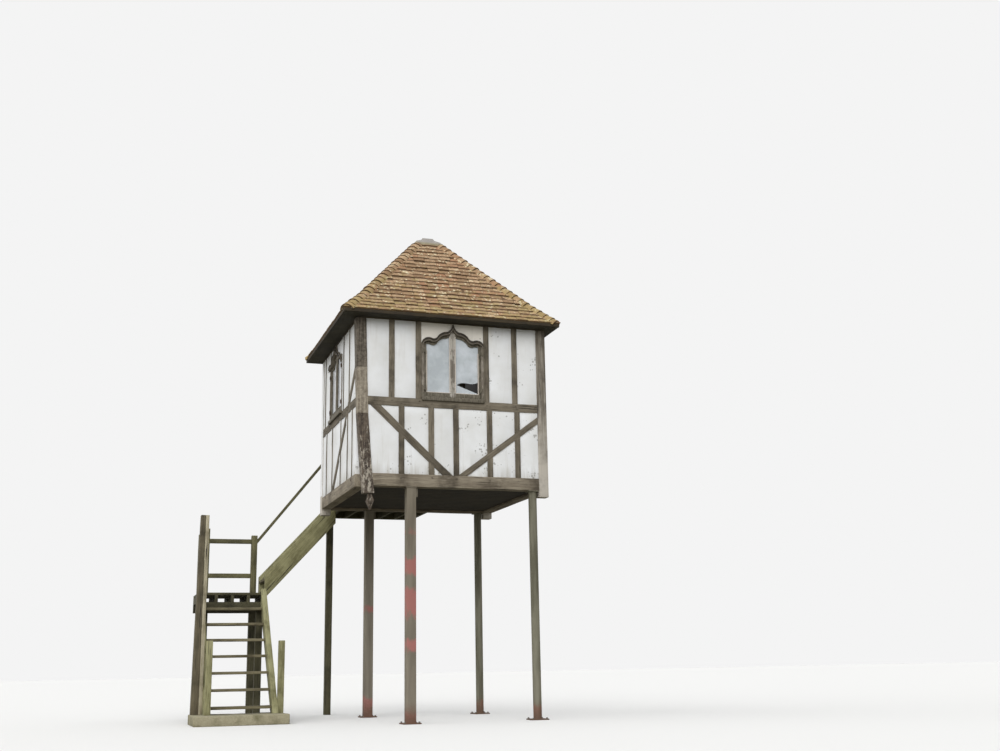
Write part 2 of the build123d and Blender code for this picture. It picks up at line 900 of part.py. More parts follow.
def stage_decks():
    """The decks of the landing and the platform."""
    landing = block(
        -stair_left, -stair_right, landing_front, landing_back, landing_joist_top, landing_top
    )
    platform = block(
        -platform_left, -platform_right, half_depth, landing_back, platform_joist_top, floor_top
    )
    return [landing, platform]


def stage_posts():
    """The posts under the landing and under the far edge of the platform."""
    half = stage_post_size / 2
    left = -stair_left + stage_post_inset + half
    right = -stair_right - stage_post_inset - half
    front = landing_front + half
    back = landing_back - half
    posts = []
    for x, y in ((left, front), (right, front), (left, back), (right, back)):
        posts.append(upright(x, y, stage_post_size, 0, landing_post_top))
    for x in (-platform_left + half, -platform_right - half):
        posts.append(upright(x, back, stage_post_size, 0, platform_post_top))
    return posts


def upper_strings():
    """The two strings of the upper stair, from the landing edge to the platform edge."""
    face = string_face(
        -stair_right, landing_top + upper_rise, upper_rise, upper_going,
        -stair_right, -platform_left, None, upper_string_below
    )
    near = across(face, upper_stair_front, upper_stair_front + string_thickness)
    far = across(face, upper_stair_back - string_thickness, upper_stair_back)
    return [near, far]


def upper_treads():
    """The open treads of the upper stair."""
    treads = []
    for k in range(1, upper_rises):
        nosing = -stair_right + (k - 1) * upper_going
        top = landing_top + k * upper_rise
        treads.append(block(
            nosing, min(nosing + tread_depth, -platform_left),
            upper_stair_front + string_thickness, upper_stair_back - string_thickness,
            top - tread_thickness, top
        ))
    return treads


# Guards

newel_back = landing_back - newel_size / 2
newel_left = -stair_left + stage_post_inset + newel_size / 2
newel_right = -stair_right - stage_post_inset - newel_size / 2
platform_newel_left = -platform_left + newel_size / 2
platform_newel_right = -platform_right - newel_size / 2
platform_newel_front = half_depth + newel_size / 2 + newel_past_wall


def newels():
    """The guard posts on the landing and on the platform."""
    posts = []
    for x, y in (
        (newel_left, landing_front + newel_size / 2), (newel_left, newel_back),
        (newel_right, newel_back)
    ):
        posts.append(upright(x, y, newel_size, landing_top, landing_top + guard_height))
    for x, y in (
        (platform_newel_left, newel_back), (platform_newel_right, newel_back),
        (platform_newel_right, platform_newel_front)
    ):
        posts.append(upright(x, y, newel_size, floor_top, floor_top + guard_height))
    return posts


def level_rails(x0, x1, y0, y1, deck):
    """A low rail and a top rail between two newels."""
    low = deck + low_rail_level
    high = deck + guard_height - hand_rail_drop - rail_section
    return [
        block(x0, x1, y0, y1, low, low + rail_section),
        block(x0, x1, y0, y1, high, high + rail_section),
    ]


def guard_rails():
    """Level rails round the landing and platform, and a sloping rail beside the upper stair."""
    half = newel_size / 2
    thin = rail_width / 2
    rails = []
    rails += level_rails(
        newel_left + half, newel_right - half, newel_back - thin, newel_back + thin, landing_top
    )
    rails += level_rails(
        newel_left - thin, newel_left + thin, landing_front + newel_size, newel_back - half,
        landing_top
    )
    rails += level_rails(
        platform_newel_left + half, platform_newel_right - half,
        newel_back - thin, newel_back + thin, floor_top
    )
    rails += level_rails(
        platform_newel_right - thin, platform_newel_right + thin,
        platform_newel_front + half, newel_back - half, floor_top
    )
    start = newel_right + half
    end = platform_newel_left - half
    low = landing_top + guard_height - hand_rail_drop
    high = floor_top + guard_height - hand_rail_drop
    face = make_face(Polyline(
        (start, low - rail_section), (end, high - rail_section), (end, high), (start, low),
        close=True
    ))
    rails.append(across(face, newel_back - thin, newel_back + thin))
    return rails


# The walls of the cabin and how long each one is
walls = [
    (front_place, cabin_width),
    (left_place, cabin_depth),
    (right_place, cabin_depth),
    (back_place, cabin_width),
]

left_post = carved_post()
front_studs, front_brace_pieces, front_rail, front_panels = front_wall()
left_studs, left_brace_pieces, left_rail, left_panels = side_wall(False)
right_studs, right_brace_pieces, right_rail, right_panels = side_wall(True)
back_studs, back_brace_pieces, back_rail, back_panels = back_wall()


def to_post(depth, z0, z1):
    """The end of a front wall piece, from the clear run of the wall to the leaning post."""
    left = wall_span(cabin_width)[0]
    return block(left - post_lean, left, *depth, z0, z1)


def beside_post(shape):
    """A piece of the front wall, cut back to the face of the bowed post."""
    return front_place * shape - left_post


front_rail += to_post((0, rail_thickness), rail_bottom, rail_top)
front_panels += to_post(panel_depth, rail_top, wall_top)
front_panels += to_post(panel_depth, sill_top, rail_bottom)
front_sill, left_sill, right_sill, back_sill = sills()
left_panels = left_place * left_panels - left_post
left_window = left_place * Pos(side_window_x, 0, 0)
right_window = right_place * Pos(-side_window_x, 0, 0)
front_window = front_place * Pos(front_window_x, 0, 0)
frame = window_frame()
casements = [casement(-1), casement(1)]
front_slope, left_slope, right_slope, back_slope = roof_slopes()

nodes = {
    "square_steel_posts": pieces([square_steel_post(-post_line), square_steel_post(post_line)]),
    "round_steel_posts": pieces([round_steel_post(-post_line), round_steel_post(post_line)]),
    "sill_beams": pieces([front_sill - left_post, left_sill - left_post, right_sill, back_sill]),
    "floor_joists": pieces(floor_joists()),
    "floor_boards": pieces([floor_boards() - left_post, under_boards() - left_post]),
    "carved_corner_post": left_post,
    "plain_corner_posts": pieces(plain_posts()),
    "mid_rails": pieces([
        beside_post(front_rail), left_place * left_rail - left_post, right_place * right_rail,
        back_place * back_rail
    ]),
    "wall_plate": wall_plate(),
    "front_wall_studs": pieces([beside_post(stud) for stud in front_studs]),
    "left_wall_studs": pieces([left_place * stud for stud in left_studs]),
    "right_wall_studs": pieces([right_place * stud for stud in right_studs]),
    "back_wall_studs": pieces([back_place * stud for stud in back_studs]),
    "wall_braces": pieces(
        [beside_post(piece) for piece in front_brace_pieces]
        + [left_place * piece - left_post for piece in left_brace_pieces]
        + [right_place * piece for piece in right_brace_pieces]
        + [back_place * piece for piece in back_brace_pieces]
    ),
    "front_wall_panels": pieces([beside_post(front_panels)]),
    "left_wall_panels": pieces([left_panels]),
    "right_wall_panels": pieces([right_place * right_panels]),
    "back_wall_panels": pieces([back_place * back_panels]),
    "front_window_frame": front_window * frame,
    "left_window_frame": left_window * frame,
    "right_window_frame": right_window * frame,
    "front_casements": pieces([front_window * leaf for leaf in casements]),
    "left_casements": pieces([left_window * leaf for leaf in casements]),
    "right_casements": pieces([right_window * leaf for leaf in casements]),
    "window_glass": pieces([
        front_window * pane(-1), front_window * broken_pane(1),
        left_window * pane(-1), left_window * pane(1),
        right_window * pane(-1), right_window * pane(1),
    ]),
    "door_frame": back_place * door_frame(),
    "plank_door": back_place * door_leaf(),
    "rafters": pieces([roof_place * rafter for rafter in rafters()]),
    "front_roof_slope": roof_place * front_slope,
    "left_roof_slope": roof_place * left_slope,
    "right_roof_slope": roof_place * right_slope,
    "back_roof_slope": roof_place * back_slope,
    "hip_tiles": pieces([roof_place * hip_cover(sx, sy) for sx in (-1, 1) for sy in (-1, 1)]),
    "lead_cap": roof_place * lead_cap(),
    "eaves_boards": roof_place * eaves_boards(),
    "stair_foot_slab": foot_slab(),
    "tall_stair_post": tall_post(),
    "short_stair_posts": pieces(short_posts()),
    "stair_strings": pieces(lower_strings() + upper_strings()),
    "lower_stair_treads": pieces(lower_treads()),
    "upper_stair_treads": pieces(upper_treads()),
    "landing_posts": pieces(stage_posts()),
    "landing_joists": pieces(stage_beams()),
    "landing_decks": pieces(stage_decks()),
    "newel_posts": pieces(newels()),
    "guard_rails": pieces(guard_rails()),
}

# The origin lies under the middle of the house's overall plan
roof_right = half_width + eave_overhang_right
roof_front = half_depth + eave_overhang_front
origin = Pos((slab_left - roof_right) / 2, (roof_front - landing_back) / 2, 0)
os.makedirs("parts", exist_ok=True)
for name, shape in nodes.items():
    export_step(origin * shape, f"parts/{name}.step")
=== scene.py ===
import math
import random

import bpy
import numpy as np
from mathutils import Matrix, Vector


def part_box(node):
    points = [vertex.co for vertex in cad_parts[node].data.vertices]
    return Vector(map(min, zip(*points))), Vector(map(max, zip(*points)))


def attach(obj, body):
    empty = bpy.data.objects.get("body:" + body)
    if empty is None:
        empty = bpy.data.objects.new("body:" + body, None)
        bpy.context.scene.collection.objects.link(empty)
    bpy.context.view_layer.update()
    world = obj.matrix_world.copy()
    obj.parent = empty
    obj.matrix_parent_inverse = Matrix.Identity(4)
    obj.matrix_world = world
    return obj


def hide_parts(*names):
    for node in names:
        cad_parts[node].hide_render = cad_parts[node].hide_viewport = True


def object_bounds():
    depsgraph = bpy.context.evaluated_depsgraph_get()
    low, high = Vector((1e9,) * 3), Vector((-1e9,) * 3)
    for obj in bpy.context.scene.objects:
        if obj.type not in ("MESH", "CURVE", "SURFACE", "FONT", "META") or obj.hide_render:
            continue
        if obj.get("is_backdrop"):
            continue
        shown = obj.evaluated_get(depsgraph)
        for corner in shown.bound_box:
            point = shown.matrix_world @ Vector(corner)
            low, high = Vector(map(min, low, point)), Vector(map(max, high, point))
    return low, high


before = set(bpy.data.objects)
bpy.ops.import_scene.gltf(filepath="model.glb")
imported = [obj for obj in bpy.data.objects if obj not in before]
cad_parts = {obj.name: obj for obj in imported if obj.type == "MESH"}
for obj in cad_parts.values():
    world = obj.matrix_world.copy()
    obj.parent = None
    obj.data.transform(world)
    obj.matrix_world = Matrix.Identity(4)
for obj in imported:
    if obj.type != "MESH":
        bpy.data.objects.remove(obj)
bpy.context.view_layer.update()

# Steel posts under the front and back sills.
# Two square hollow posts and two round tubes, cut from stock mill steel, with welded foot and cap
# plates held down by bolts. Brushed with red primer and a grey top coat that has chalked and worn.


def linear(hex_colour):
    """An sRGB hex value as linear red, green, blue and alpha."""
    parts = [int(hex_colour[i:i + 2], 16) / 255 for i in (1, 3, 5)]
    return [c / 12.92 if c <= 0.04045 else ((c + 0.055) / 1.055) ** 2.4 for c in parts] + [1.0]


def start_finish(name, roughness, ior=1.5, metallic=0.0):
    """A material with one principled shader and its constant values."""
    finish = bpy.data.materials.new(name)
    finish.use_nodes = True
    shader = finish.node_tree.nodes["Principled BSDF"]
    shader.inputs["Roughness"].default_value = roughness
    shader.inputs["IOR"].default_value = ior
    shader.inputs["Metallic"].default_value = metallic
    return finish, finish.node_tree, shader


def add(tree, kind, inputs=None, **settings):
    """A shader node with its settings, and its inputs as values or as sockets to link from."""
    new = tree.nodes.new(kind)
    for name, value in settings.items():
        setattr(new, name, value)
    for key, value in (inputs or {}).items():
        if isinstance(value, bpy.types.NodeSocket):
            tree.links.new(value, new.inputs[key])
        else:
            new.inputs[key].default_value = value
    return new


def blend(tree, share, first, second):
    """Mixes two colours, each a hex value or a socket, by a share from 0 to 1."""
    ends = [linear(end) if isinstance(end, str) else end for end in (first, second)]
    return add(tree, "ShaderNodeMix", {0: share, 6: ends[0], 7: ends[1]}, data_type="RGBA").outputs[2]


def noise(tree, vector, scale, detail, roughness=0.5, distortion=0.0):
    """Cloudy noise from 0 to 1."""
    return add(tree, "ShaderNodeTexNoise", {
        "Vector": vector, "Scale": scale, "Detail": detail, "Roughness": roughness, "Distortion": distortion
    }).outputs[0]


def remap(tree, value, low, high, least=0.0, most=1.0):
    """Spreads the run from low to high over least to most, and holds it at both ends."""
    return add(tree, "ShaderNodeMapRange", {0: value, 1: low, 2: high, 3: least, 4: most}).outputs[0]


def maths(tree, operation, *values):
    """One sum on values or sockets."""
    return add(tree, "ShaderNodeMath", dict(enumerate(values)), operation=operation).outputs[0]


def stretch(tree, vector, across, along):
    """Points scaled alike in x and y, and on their own in z."""
    return add(tree, "ShaderNodeMapping", {0: vector, "Scale": (across, across, along)}).outputs[0]


def bump(tree, height, strength, distance, under=None):
    """Relief from a height, over another relief if one is given."""
    inputs = {"Height": height, "Strength": strength, "Distance": distance}
    if under is not None:
        inputs["Normal"] = under
    return add(tree, "ShaderNodeBump", inputs).outputs[0]


def object_point(tree):
    """The shaded point in the piece's own space, which is the house's."""
    return add(tree, "ShaderNodeTexCoord").outputs["Object"]


def coordinate(tree, point, axis):
    """One coordinate of a point."""
    return add(tree, "ShaderNodeSeparateXYZ", {0: point}).outputs[axis]


def stored(tree, name, kind):
    """What a mesh stores at its points under a name."""
    return add(tree, "ShaderNodeAttribute", attribute_name=name).outputs[kind]


def dress(shader, colour, relief=None, rough=None):
    """Links what was drawn for a finish to its principled shader."""
    for key, socket in (("Base Color", colour), ("Normal", relief), ("Roughness", rough)):
        if socket is not None:
            shader.id_data.links.new(socket, shader.inputs[key])


def only(piece):
    """Makes one object the only selected one."""
    if bpy.context.object and bpy.context.object.mode != "OBJECT":
        bpy.ops.object.mode_set(mode="OBJECT")
    bpy.ops.object.select_all(action="DESELECT")
    piece.select_set(True)
    bpy.context.view_layer.objects.active = piece


def new_object(name, data):
    """An object in the scene for some data."""
    made = bpy.data.objects.new(name, data)
    bpy.context.scene.collection.objects.link(made)
    return made


def unselect(piece):
    """Takes every point, edge and face of a mesh out of the selection."""
    only(piece)
    bpy.ops.object.mode_set(mode="EDIT")
    bpy.ops.mesh.select_all(action="DESELECT")
    bpy.ops.object.mode_set(mode="OBJECT")


def copy_of(node, name):
    """A piece with a merged copy of a CAD node's mesh, its flat faces made whole again."""
    piece = new_object(name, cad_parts[node].data.copy())
    piece.data.materials.clear()
    only(piece)
    bpy.ops.object.mode_set(mode="EDIT")
    bpy.ops.mesh.select_all(action="SELECT")
    bpy.ops.mesh.remove_doubles(threshold=0.00005)
    bpy.ops.mesh.dissolve_limited(angle_limit=math.radians(1.0))
    bpy.ops.object.mode_set(mode="OBJECT")
    return piece


def ease_edges(piece, width, segments=2, angle=30):
    """Takes the sharpness off every edge that turns by more than the angle."""
    only(piece)
    bevel = piece.modifiers.new("eased", "BEVEL")
    bevel.width = width
    bevel.segments = segments
    bevel.limit_method = "ANGLE"
    bevel.angle_limit = math.radians(angle)
    bevel.use_clamp_overlap = True
    bpy.ops.object.modifier_apply(modifier="eased")
    bpy.ops.object.shade_smooth_by_angle(angle=math.radians(32))
    return piece


def cut(piece, planes, **how):
    """Cuts a mesh along each plane, given as a point and a normal, and drops a side where told to."""
    only(piece)
    bpy.ops.object.mode_set(mode="EDIT")
    for point, normal in planes:
        bpy.ops.mesh.select_all(action="SELECT")
        bpy.ops.mesh.bisect(plane_co=point, plane_no=normal, **how)
    bpy.ops.object.mode_set(mode="OBJECT")


def hand_in(piece, finish, slot, *nodes):
    """Gives a finished piece its material and sets it on the house for its CAD nodes; the slot is not used.
    """
    if finish is not None:
        piece.data.materials.clear()
        piece.data.materials.append(finish)
    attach(piece, "root")
    if nodes:
        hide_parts(*nodes)
    return piece


def join(pieces, name):
    """Joins pieces that make one thing into one mesh."""
    only(pieces[0])
    for piece in pieces:
        piece.select_set(True)
    if len(pieces) > 1:
        bpy.ops.object.join()
    joined = bpy.context.object
    joined.name = name
    joined.data.name = name
    return joined


def settle(piece):
    """Puts an object's place and turn into its mesh."""
    only(piece)
    bpy.ops.object.transform_apply(location=True, rotation=True, scale=True)
    return piece


def rod(vertices, radius, depth, location, turned=False):
    """A cylinder to model from, standing along z, or lying along y if turned."""
    bpy.ops.object.select_all(action="DESELECT")
    bpy.ops.mesh.primitive_cylinder_add(
        vertices=vertices, radius=radius, depth=depth, location=location,
        rotation=(math.radians(90) if turned else 0, 0, 0)
    )
    return settle(bpy.context.object)


def bar(size, location=(0, 0, 0)):
    """A box to model from."""
    bpy.ops.object.select_all(action="DESELECT")
    bpy.ops.mesh.primitive_cube_add(size=1, location=location)
    made = bpy.context.object
    made.scale = size
    return settle(made)


def copies(model, places, name):
    """Copies one modelled piece to each place, each copy with its own mesh, and joins them."""
    made = []
    for place in places:
        twin = new_object(name, model.data.copy())
        twin.data.transform(place)
        if place.to_3x3().determinant() < 0:
            twin.data.flip_normals()
        made.append(twin)
    bpy.data.objects.remove(model)
    return join(made, name)


# Old paint on steel: chalked grey top coat over red oxide primer. It gives the eye a dull grey
# stem, pinkish red patches a hand long where the primer shows, and brown rust at the foot.
def painted_steel(name, grey, dark, red, rust, bands):
    finish, tree, shader = start_finish(name, 0.72)
    place = object_point(tree)
    height = coordinate(tree, place, 2)
    streaks = stretch(tree, place, 14.0, 1.6)
    broad = noise(tree, streaks, 1.0, 5.0)
    fine = noise(tree, place, 85.0, 6.0, 0.65)
    soft = remap(tree, broad, 0.35, 0.65)
    coat = blend(tree, soft, dark, grey)
    worn_through = 0.0
    for low, high in bands:
        low_edge = remap(tree, height, low - 0.13, low + 0.07)
        high_edge = remap(tree, height, high + 0.13, high - 0.07)
        band = maths(tree, "MULTIPLY", low_edge, high_edge)
        worn_through = maths(tree, "MAXIMUM", band, worn_through)
    tall = add(tree, "ShaderNodeMapping", {
        0: place, "Location": (0.0, 0.0, 2.6), "Scale": (13.0, 13.0, 8.0)
    }).outputs[0]
    patches = noise(tree, tall, 1.0, 7.0, 0.62)
    shown = maths(tree, "MULTIPLY", worn_through, patches)
    primer = remap(tree, shown, 0.30, 0.46, 0.0, 0.85)
    worn_coat = blend(tree, primer, coat, red)
    foot = remap(tree, height, 0.42, 0.0)
    eaten = maths(tree, "MULTIPLY", foot, fine)
    rusted = remap(tree, eaten, 0.18, 0.42)
    whole = blend(tree, rusted, worn_coat, rust)
    rough = remap(tree, fine, 0.0, 1.0, 0.58, 0.86)
    relief = bump(tree, fine, 0.25, 0.002)
    dress(shader, whole, relief, rough)
    return finish


front_square = painted_steel(
    "square post paint over primer", "#7b7364", "#686052", "#9d5f59", "#5a3d2c",
    ((0.03, 0.16), (0.90, 1.06), (1.32, 1.74), (1.86, 2.13), (2.42, 2.48))
)
back_square = painted_steel(
    "back square post paint over primer", "#777062", "#645d50", "#8f5a53", "#5a3d2c",
    ((0.05, 0.30), (1.50, 1.62))
)
round_paint = painted_steel("round post paint", "#757261", "#565342", "#7d5345", "#57402e", ((0.0, 0.20),))

for node, paints, slot in (
    ("square_steel_posts", (front_square, back_square), "square_post_paint"),
    ("round_steel_posts", (round_paint,), "round_post_paint"),
):
    posts = copy_of(node, node + "_dressed")
    ease_edges(posts, 0.006, 3, 40)
    for paint in paints:
        posts.data.materials.append(paint)
    low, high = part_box(node)
    for face in posts.data.polygons:
        face.material_index = len(paints) - 1 if face.center.y > (low.y + high.y) / 2 else 0
    hand_in(posts, None, slot, node)

# Bolts of the steel posts: zinc-plated hexagon bolts with round washers, one through each corner
# of every foot plate, dulled by weather.
bolt_across = 0.022
bolt_head = 0.012


def hexagon_bolt(name):
    """A chamfered hexagon head on a washer, standing on the origin and pointing up."""
    bpy.ops.object.select_all(action="DESELECT")
    washer = rod(16, bolt_across * 0.85, 0.003, (0, 0, 0.0015))
    bpy.ops.mesh.primitive_cylinder_add(
        vertices=6, radius=bolt_across * 0.577, depth=bolt_head, location=(0, 0, 0.003 + bolt_head / 2)
    )
    head = bpy.context.object
    unselect(head)
    for face in head.data.polygons:
        face.select = face.normal.z > 0.9
    bpy.ops.object.mode_set(mode="EDIT")
    bpy.ops.mesh.inset(thickness=0.0022, depth=0.0012)
    bpy.ops.mesh.extrude_region_move(TRANSFORM_OT_translate={"value": (0, 0, 0.0008)})
    bpy.ops.object.mode_set(mode="OBJECT")
    settle(head)
    return join([washer, head], name)


zinc, tree, shader = start_finish("dulled zinc plating", 0.55, metallic=0.85)
place = object_point(tree)
spots = noise(tree, place, 160.0, 4.0)
shade = blend(tree, spots, "#4b463e", "#8b8880")
rough = remap(tree, spots, 0.0, 1.0, 0.4, 0.75)
dress(shader, shade, rough=rough)

plate_half = 0.120
plate_reach = 0.095
plate_top = 0.015
places = []
for node in ("square_steel_posts", "round_steel_posts"):
    low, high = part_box(node)
    x = low.x + plate_half
    for y in (low.y + plate_half, high.y - plate_half):
        for dx in (-plate_reach, plate_reach):
            for dy in (-plate_reach, plate_reach):
                turn = Matrix.Rotation(random.Random(round(x * 1e3 + y * 7e2 + dx * 1e4)).random(), 4, "Z")
                places.append(Matrix.Translation((x + dx, y + dy, plate_top)) @ turn)
foot_bolts = copies(hexagon_bolt("foot bolt"), places, "foot_plate_bolts")
hand_in(foot_bolts, zinc, "round_post_paint")

# Oak frame of the cabin: sills, corner posts, middle rails, studs, braces and wall plate.
# Sawn and hewn green oak, pegged and tenoned, silvered by weather. Edges are worn round, faces
# have opened along the grain, and each timber has its own tone.
cut_spacing = 0.11


def slice_along(piece, spacing):
    """Cuts a mesh across at even planes along x, y and z, to give its long faces points to move."""
    low = [min(v.co[i] for v in piece.data.vertices) for i in range(3)]
    high = [max(v.co[i] for v in piece.data.vertices) for i in range(3)]
    only(piece)
    bpy.ops.object.mode_set(mode="EDIT")
    for axis in range(3):
        count = int((high[axis] - low[axis]) / spacing)
        for i in range(1, count + 1):
            point = [0.0, 0.0, 0.0]
            normal = [0.0, 0.0, 0.0]
            point[axis] = low[axis] + (i - 0.37) * spacing
            normal[axis] = 1.0
            bpy.ops.mesh.select_all(action="SELECT")
            bpy.ops.mesh.bisect(plane_co=point, plane_no=normal)
    bpy.ops.mesh.select_all(action="DESELECT")
    bpy.ops.object.mode_set(mode="OBJECT")
    return piece


def islands(mesh):
    """Arrays of vertex numbers, one for each loose part of a mesh."""
    parent = list(range(len(mesh.vertices)))

    def root(i):
        while parent[i] != i:
            parent[i] = parent[parent[i]]
            i = parent[i]
        return i

    for edge in mesh.edges:
        a, b = root(edge.vertices[0]), root(edge.vertices[1])
        if a != b:
            parent[a] = b
    groups = {}
    for i in range(len(parent)):
        groups.setdefault(root(i), []).append(i)
    return list(groups.values())


def lay_grain(piece, seed):
    """Stores how far each point lies along and across its own timber, and a tone for the timber."""
    chance = random.Random(seed)
    mesh = piece.data
    points = np.array([v.co for v in mesh.vertices])
    grain = np.zeros_like(points)
    tone = np.zeros(len(points))
    for group in islands(mesh):
        own = points[group]
        centre = (own.max(0) + own.min(0)) / 2
        own = own - centre
        size = own.max(0) - own.min(0)
        if sorted(size)[2] > 2.2 * sorted(size)[1]:
            along = np.eye(3)[int(size.argmax())]
        else:
            along = np.linalg.svd(own - own.mean(0), full_matrices=False)[2][0]
        side = np.cross(along, (0.31, 0.77, 0.55))
        side /= np.linalg.norm(side)
        up = np.cross(along, side)
        shift = np.array([chance.uniform(-9, 9) for _ in range(3)])
        grain[group] = np.stack([own @ side, own @ up, own @ along], 1) + shift
        tone[group] = chance.random()
    mesh.attributes.new("grain", "FLOAT_VECTOR", "POINT").data.foreach_set("vector", grain.ravel())
    mesh.attributes.new("tone", "FLOAT", "POINT").data.foreach_set("value", tone)
    return piece


hewn = bpy.data.textures.new("hewn waver", "CLOUDS")
hewn.noise_scale = 0.33
hewn.noise_depth = 2


def waver(piece, strength):
    """Moves the faces in and out a little, as a saw and an axe leave them."""
    only(piece)
    for axis in ("X", "Y", "Z"):
        push = piece.modifiers.new("waver", "DISPLACE")
        push.texture = hewn
        push.texture_coords = "LOCAL"
        push.direction = axis
        push.mid_level = 0.5
        push.strength = strength
        bpy.ops.object.modifier_apply(modifier="waver")
    return piece


def shaped(node, spacing, wave, worn, segments=2, angle=42, seed=None):
    """A piece from its CAD node with wavering faces and worn edges, and with a grain if it has a seed."""
    piece = slice_along(copy_of(node, node + "_dressed"), spacing)
    if seed is not None:
        lay_grain(piece, seed)
    waver(piece, wave)
    return ease_edges(piece, worn, segments, angle)


def timber(node, seed, worn=0.007, wave=0.010, spacing=cut_spacing):
    """A group of timbers from its CAD node, each with its own grain."""
    return shaped(node, spacing, wave, worn, seed=seed)


# Weathered timber, sawn and left bare. It gives the eye long silver and brown streaks, fine dark
# fibres, and a few black drying cracks that run with the grain. Streaks are drawn 25 mm wide so
# that they show at the distance of the photograph, fibres 4 mm.
def weathered_timber(name, pale, middle, dark, stain, stain_low=None, stain_high=None, roughness=0.84):
    finish, tree, shader = start_finish(name, roughness)
    grain = stored(tree, "grain", "Vector")
    tone = stored(tree, "tone", "Fac")
    wide = stretch(tree, grain, 40.0, 1.6)
    thin = stretch(tree, grain, 250.0, 7.0)
    streak = noise(tree, wide, 1.0, 6.0, 0.6, 0.3)
    fibre = noise(tree, thin, 1.0, 5.0, 0.65)
    place = object_point(tree)
    patch = noise(tree, place, 3.2, 5.0, 0.6)
    lean = maths(tree, "MULTIPLY_ADD", tone, 0.34, -0.17)
    mixed = maths(tree, "ADD", streak, lean)
    bare = remap(tree, mixed, 0.32, 0.72)
    body = blend(tree, bare, middle, pale)
    drift = maths(tree, "MULTIPLY", patch, fibre)
    shadow = remap(tree, drift, 0.28, 0.14)
    soaked = blend(tree, shadow, body, dark)
    crack_map = stretch(tree, grain, 85.0, 2.2)
    crack_noise = noise(tree, crack_map, 1.0, 2.0, 0.4)
    crack = remap(tree, crack_noise, 0.335, 0.30)
    checked = blend(tree, crack, soaked, "#1d1711")
    last = checked
    if stain_low is not None:
        height = coordinate(tree, place, 2)
        rise = remap(tree, height, stain_low, stain_high)
        broken = maths(tree, "MULTIPLY", rise, patch)
        amount = remap(tree, broken, 0.12, 0.42, 0.0, 0.8)
        last = blend(tree, amount, checked, stain)
    dull = remap(tree, fibre, 0.0, 1.0, roughness - 0.1, roughness + 0.1)
    ridge = maths(tree, "SUBTRACT", fibre, crack)
    relief = bump(tree, ridge, 0.55, 0.004)
    dress(shader, last, relief, dull)
    return finish


oak = weathered_timber("weathered oak", "#7a7161", "#5c5446", "#393227", "#968e80", 3.3, 2.9)
sill_oak = weathered_timber("damp weathered oak", "#968d7b", "#726757", "#463d30", "#8d8575")
bleached_oak = weathered_timber("bleached oak", "#b4ada1", "#6c6457", "#3d352b", "#bab3a8", 4.7, 3.1)
old_oak = weathered_timber("old dark oak", "#5b5140", "#423928", "#262016", "#6b6150")

frame_seeds = {
    "mid_rails": 13, "front_wall_studs": 14, "left_wall_studs": 15, "right_wall_studs": 16,
    "back_wall_studs": 17, "wall_braces": 18,
}
for node, seed in frame_seeds.items():
    hand_in(timber(node, seed), oak, "weathered_oak", node)
hand_in(timber("sill_beams", 11), sill_oak, "weathered_oak", "sill_beams")
hand_in(timber("plain_corner_posts", 12), bleached_oak, "weathered_oak", "plain_corner_posts")
hand_in(timber("wall_plate", 19), old_oak, "weathered_oak", "wall_plate")

# Carved corner post at the front left: one bowed oak trunk with a square drop pendant below it.
# Its head is old and nearly black, a paler length has been scarfed in at the middle, and the foot
# still carries flakes of the limewash that the panels are painted with.
scarf_low = 4.018
scarf_high = 4.651
finish, tree, shader = start_finish("oak post with scarfed repair and flaking limewash", 0.85)
place = object_point(tree)
height = coordinate(tree, place, 2)
grain = stretch(tree, place, 40.0, 1.4)
streak = noise(tree, grain, 1.0, 7.0, 0.62)
fine_map = stretch(tree, place, 230.0, 8.0)
fibre = noise(tree, fine_map, 1.0, 5.0)
mottle = noise(tree, place, 22.0, 8.0, 0.7)
drift = maths(tree, "ADD", streak, mottle)
spread = remap(tree, drift, 0.84, 1.22)
head = blend(tree, spread, "#3c352a", "#746b5f")
repair = blend(tree, spread, "#62584a", "#9e9585")
foot = blend(tree, spread, "#30271f", "#675b4e")
flake_map = stretch(tree, place, 42.0, 13.0)
flake = noise(tree, flake_map, 1.0, 9.0, 0.72)
held = remap(tree, height, scarf_low, 2.95, -0.08, 0.06)
dripping = remap(tree, height, 3.02, 2.92, 0.0, 0.10)
worn_off = maths(tree, "SUBTRACT", held, dripping)
more = maths(tree, "ADD", flake, worn_off)
wash = remap(tree, more, 0.52, 0.58, 0.0, 0.85)
washed = blend(tree, wash, foot, "#aba395")
over_low = remap(tree, height, scarf_low - 0.003, scarf_low + 0.003)
over_high = remap(tree, height, scarf_high - 0.003, scarf_high + 0.003)
lower = blend(tree, over_low, washed, repair)
upper = blend(tree, over_high, lower, head)
cracks = noise(tree, grain, 2.4, 2.0)
split = remap(tree, cracks, 0.34, 0.30)
depth = maths(tree, "SUBTRACT", fibre, split)
relief = bump(tree, depth, 0.7, 0.005)
layer = bump(tree, wash, 0.4, 0.002, relief)
dress(shader, upper, layer)
carved_oak = finish
post = timber("carved_corner_post", 20, worn=0.009, wave=0.012, spacing=0.09)
hand_in(post, carved_oak, "weathered_oak", "carved_corner_post")

# Pegs of the frame: riven oak pins of 19 mm, driven through the tenons and left proud.
# One at the head and one at the foot of every upright.
peg_radius = 0.0095
peg_proud = 0.007
peg_inset = 0.045
sill_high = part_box("sill_beams")[1]
plate_low, plate_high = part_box("wall_plate")
cabin = (plate_low + plate_high) / 2
half_x = plate_high.x - cabin.x
half_y = plate_high.y - cabin.y
rail_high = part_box("mid_rails")[1]


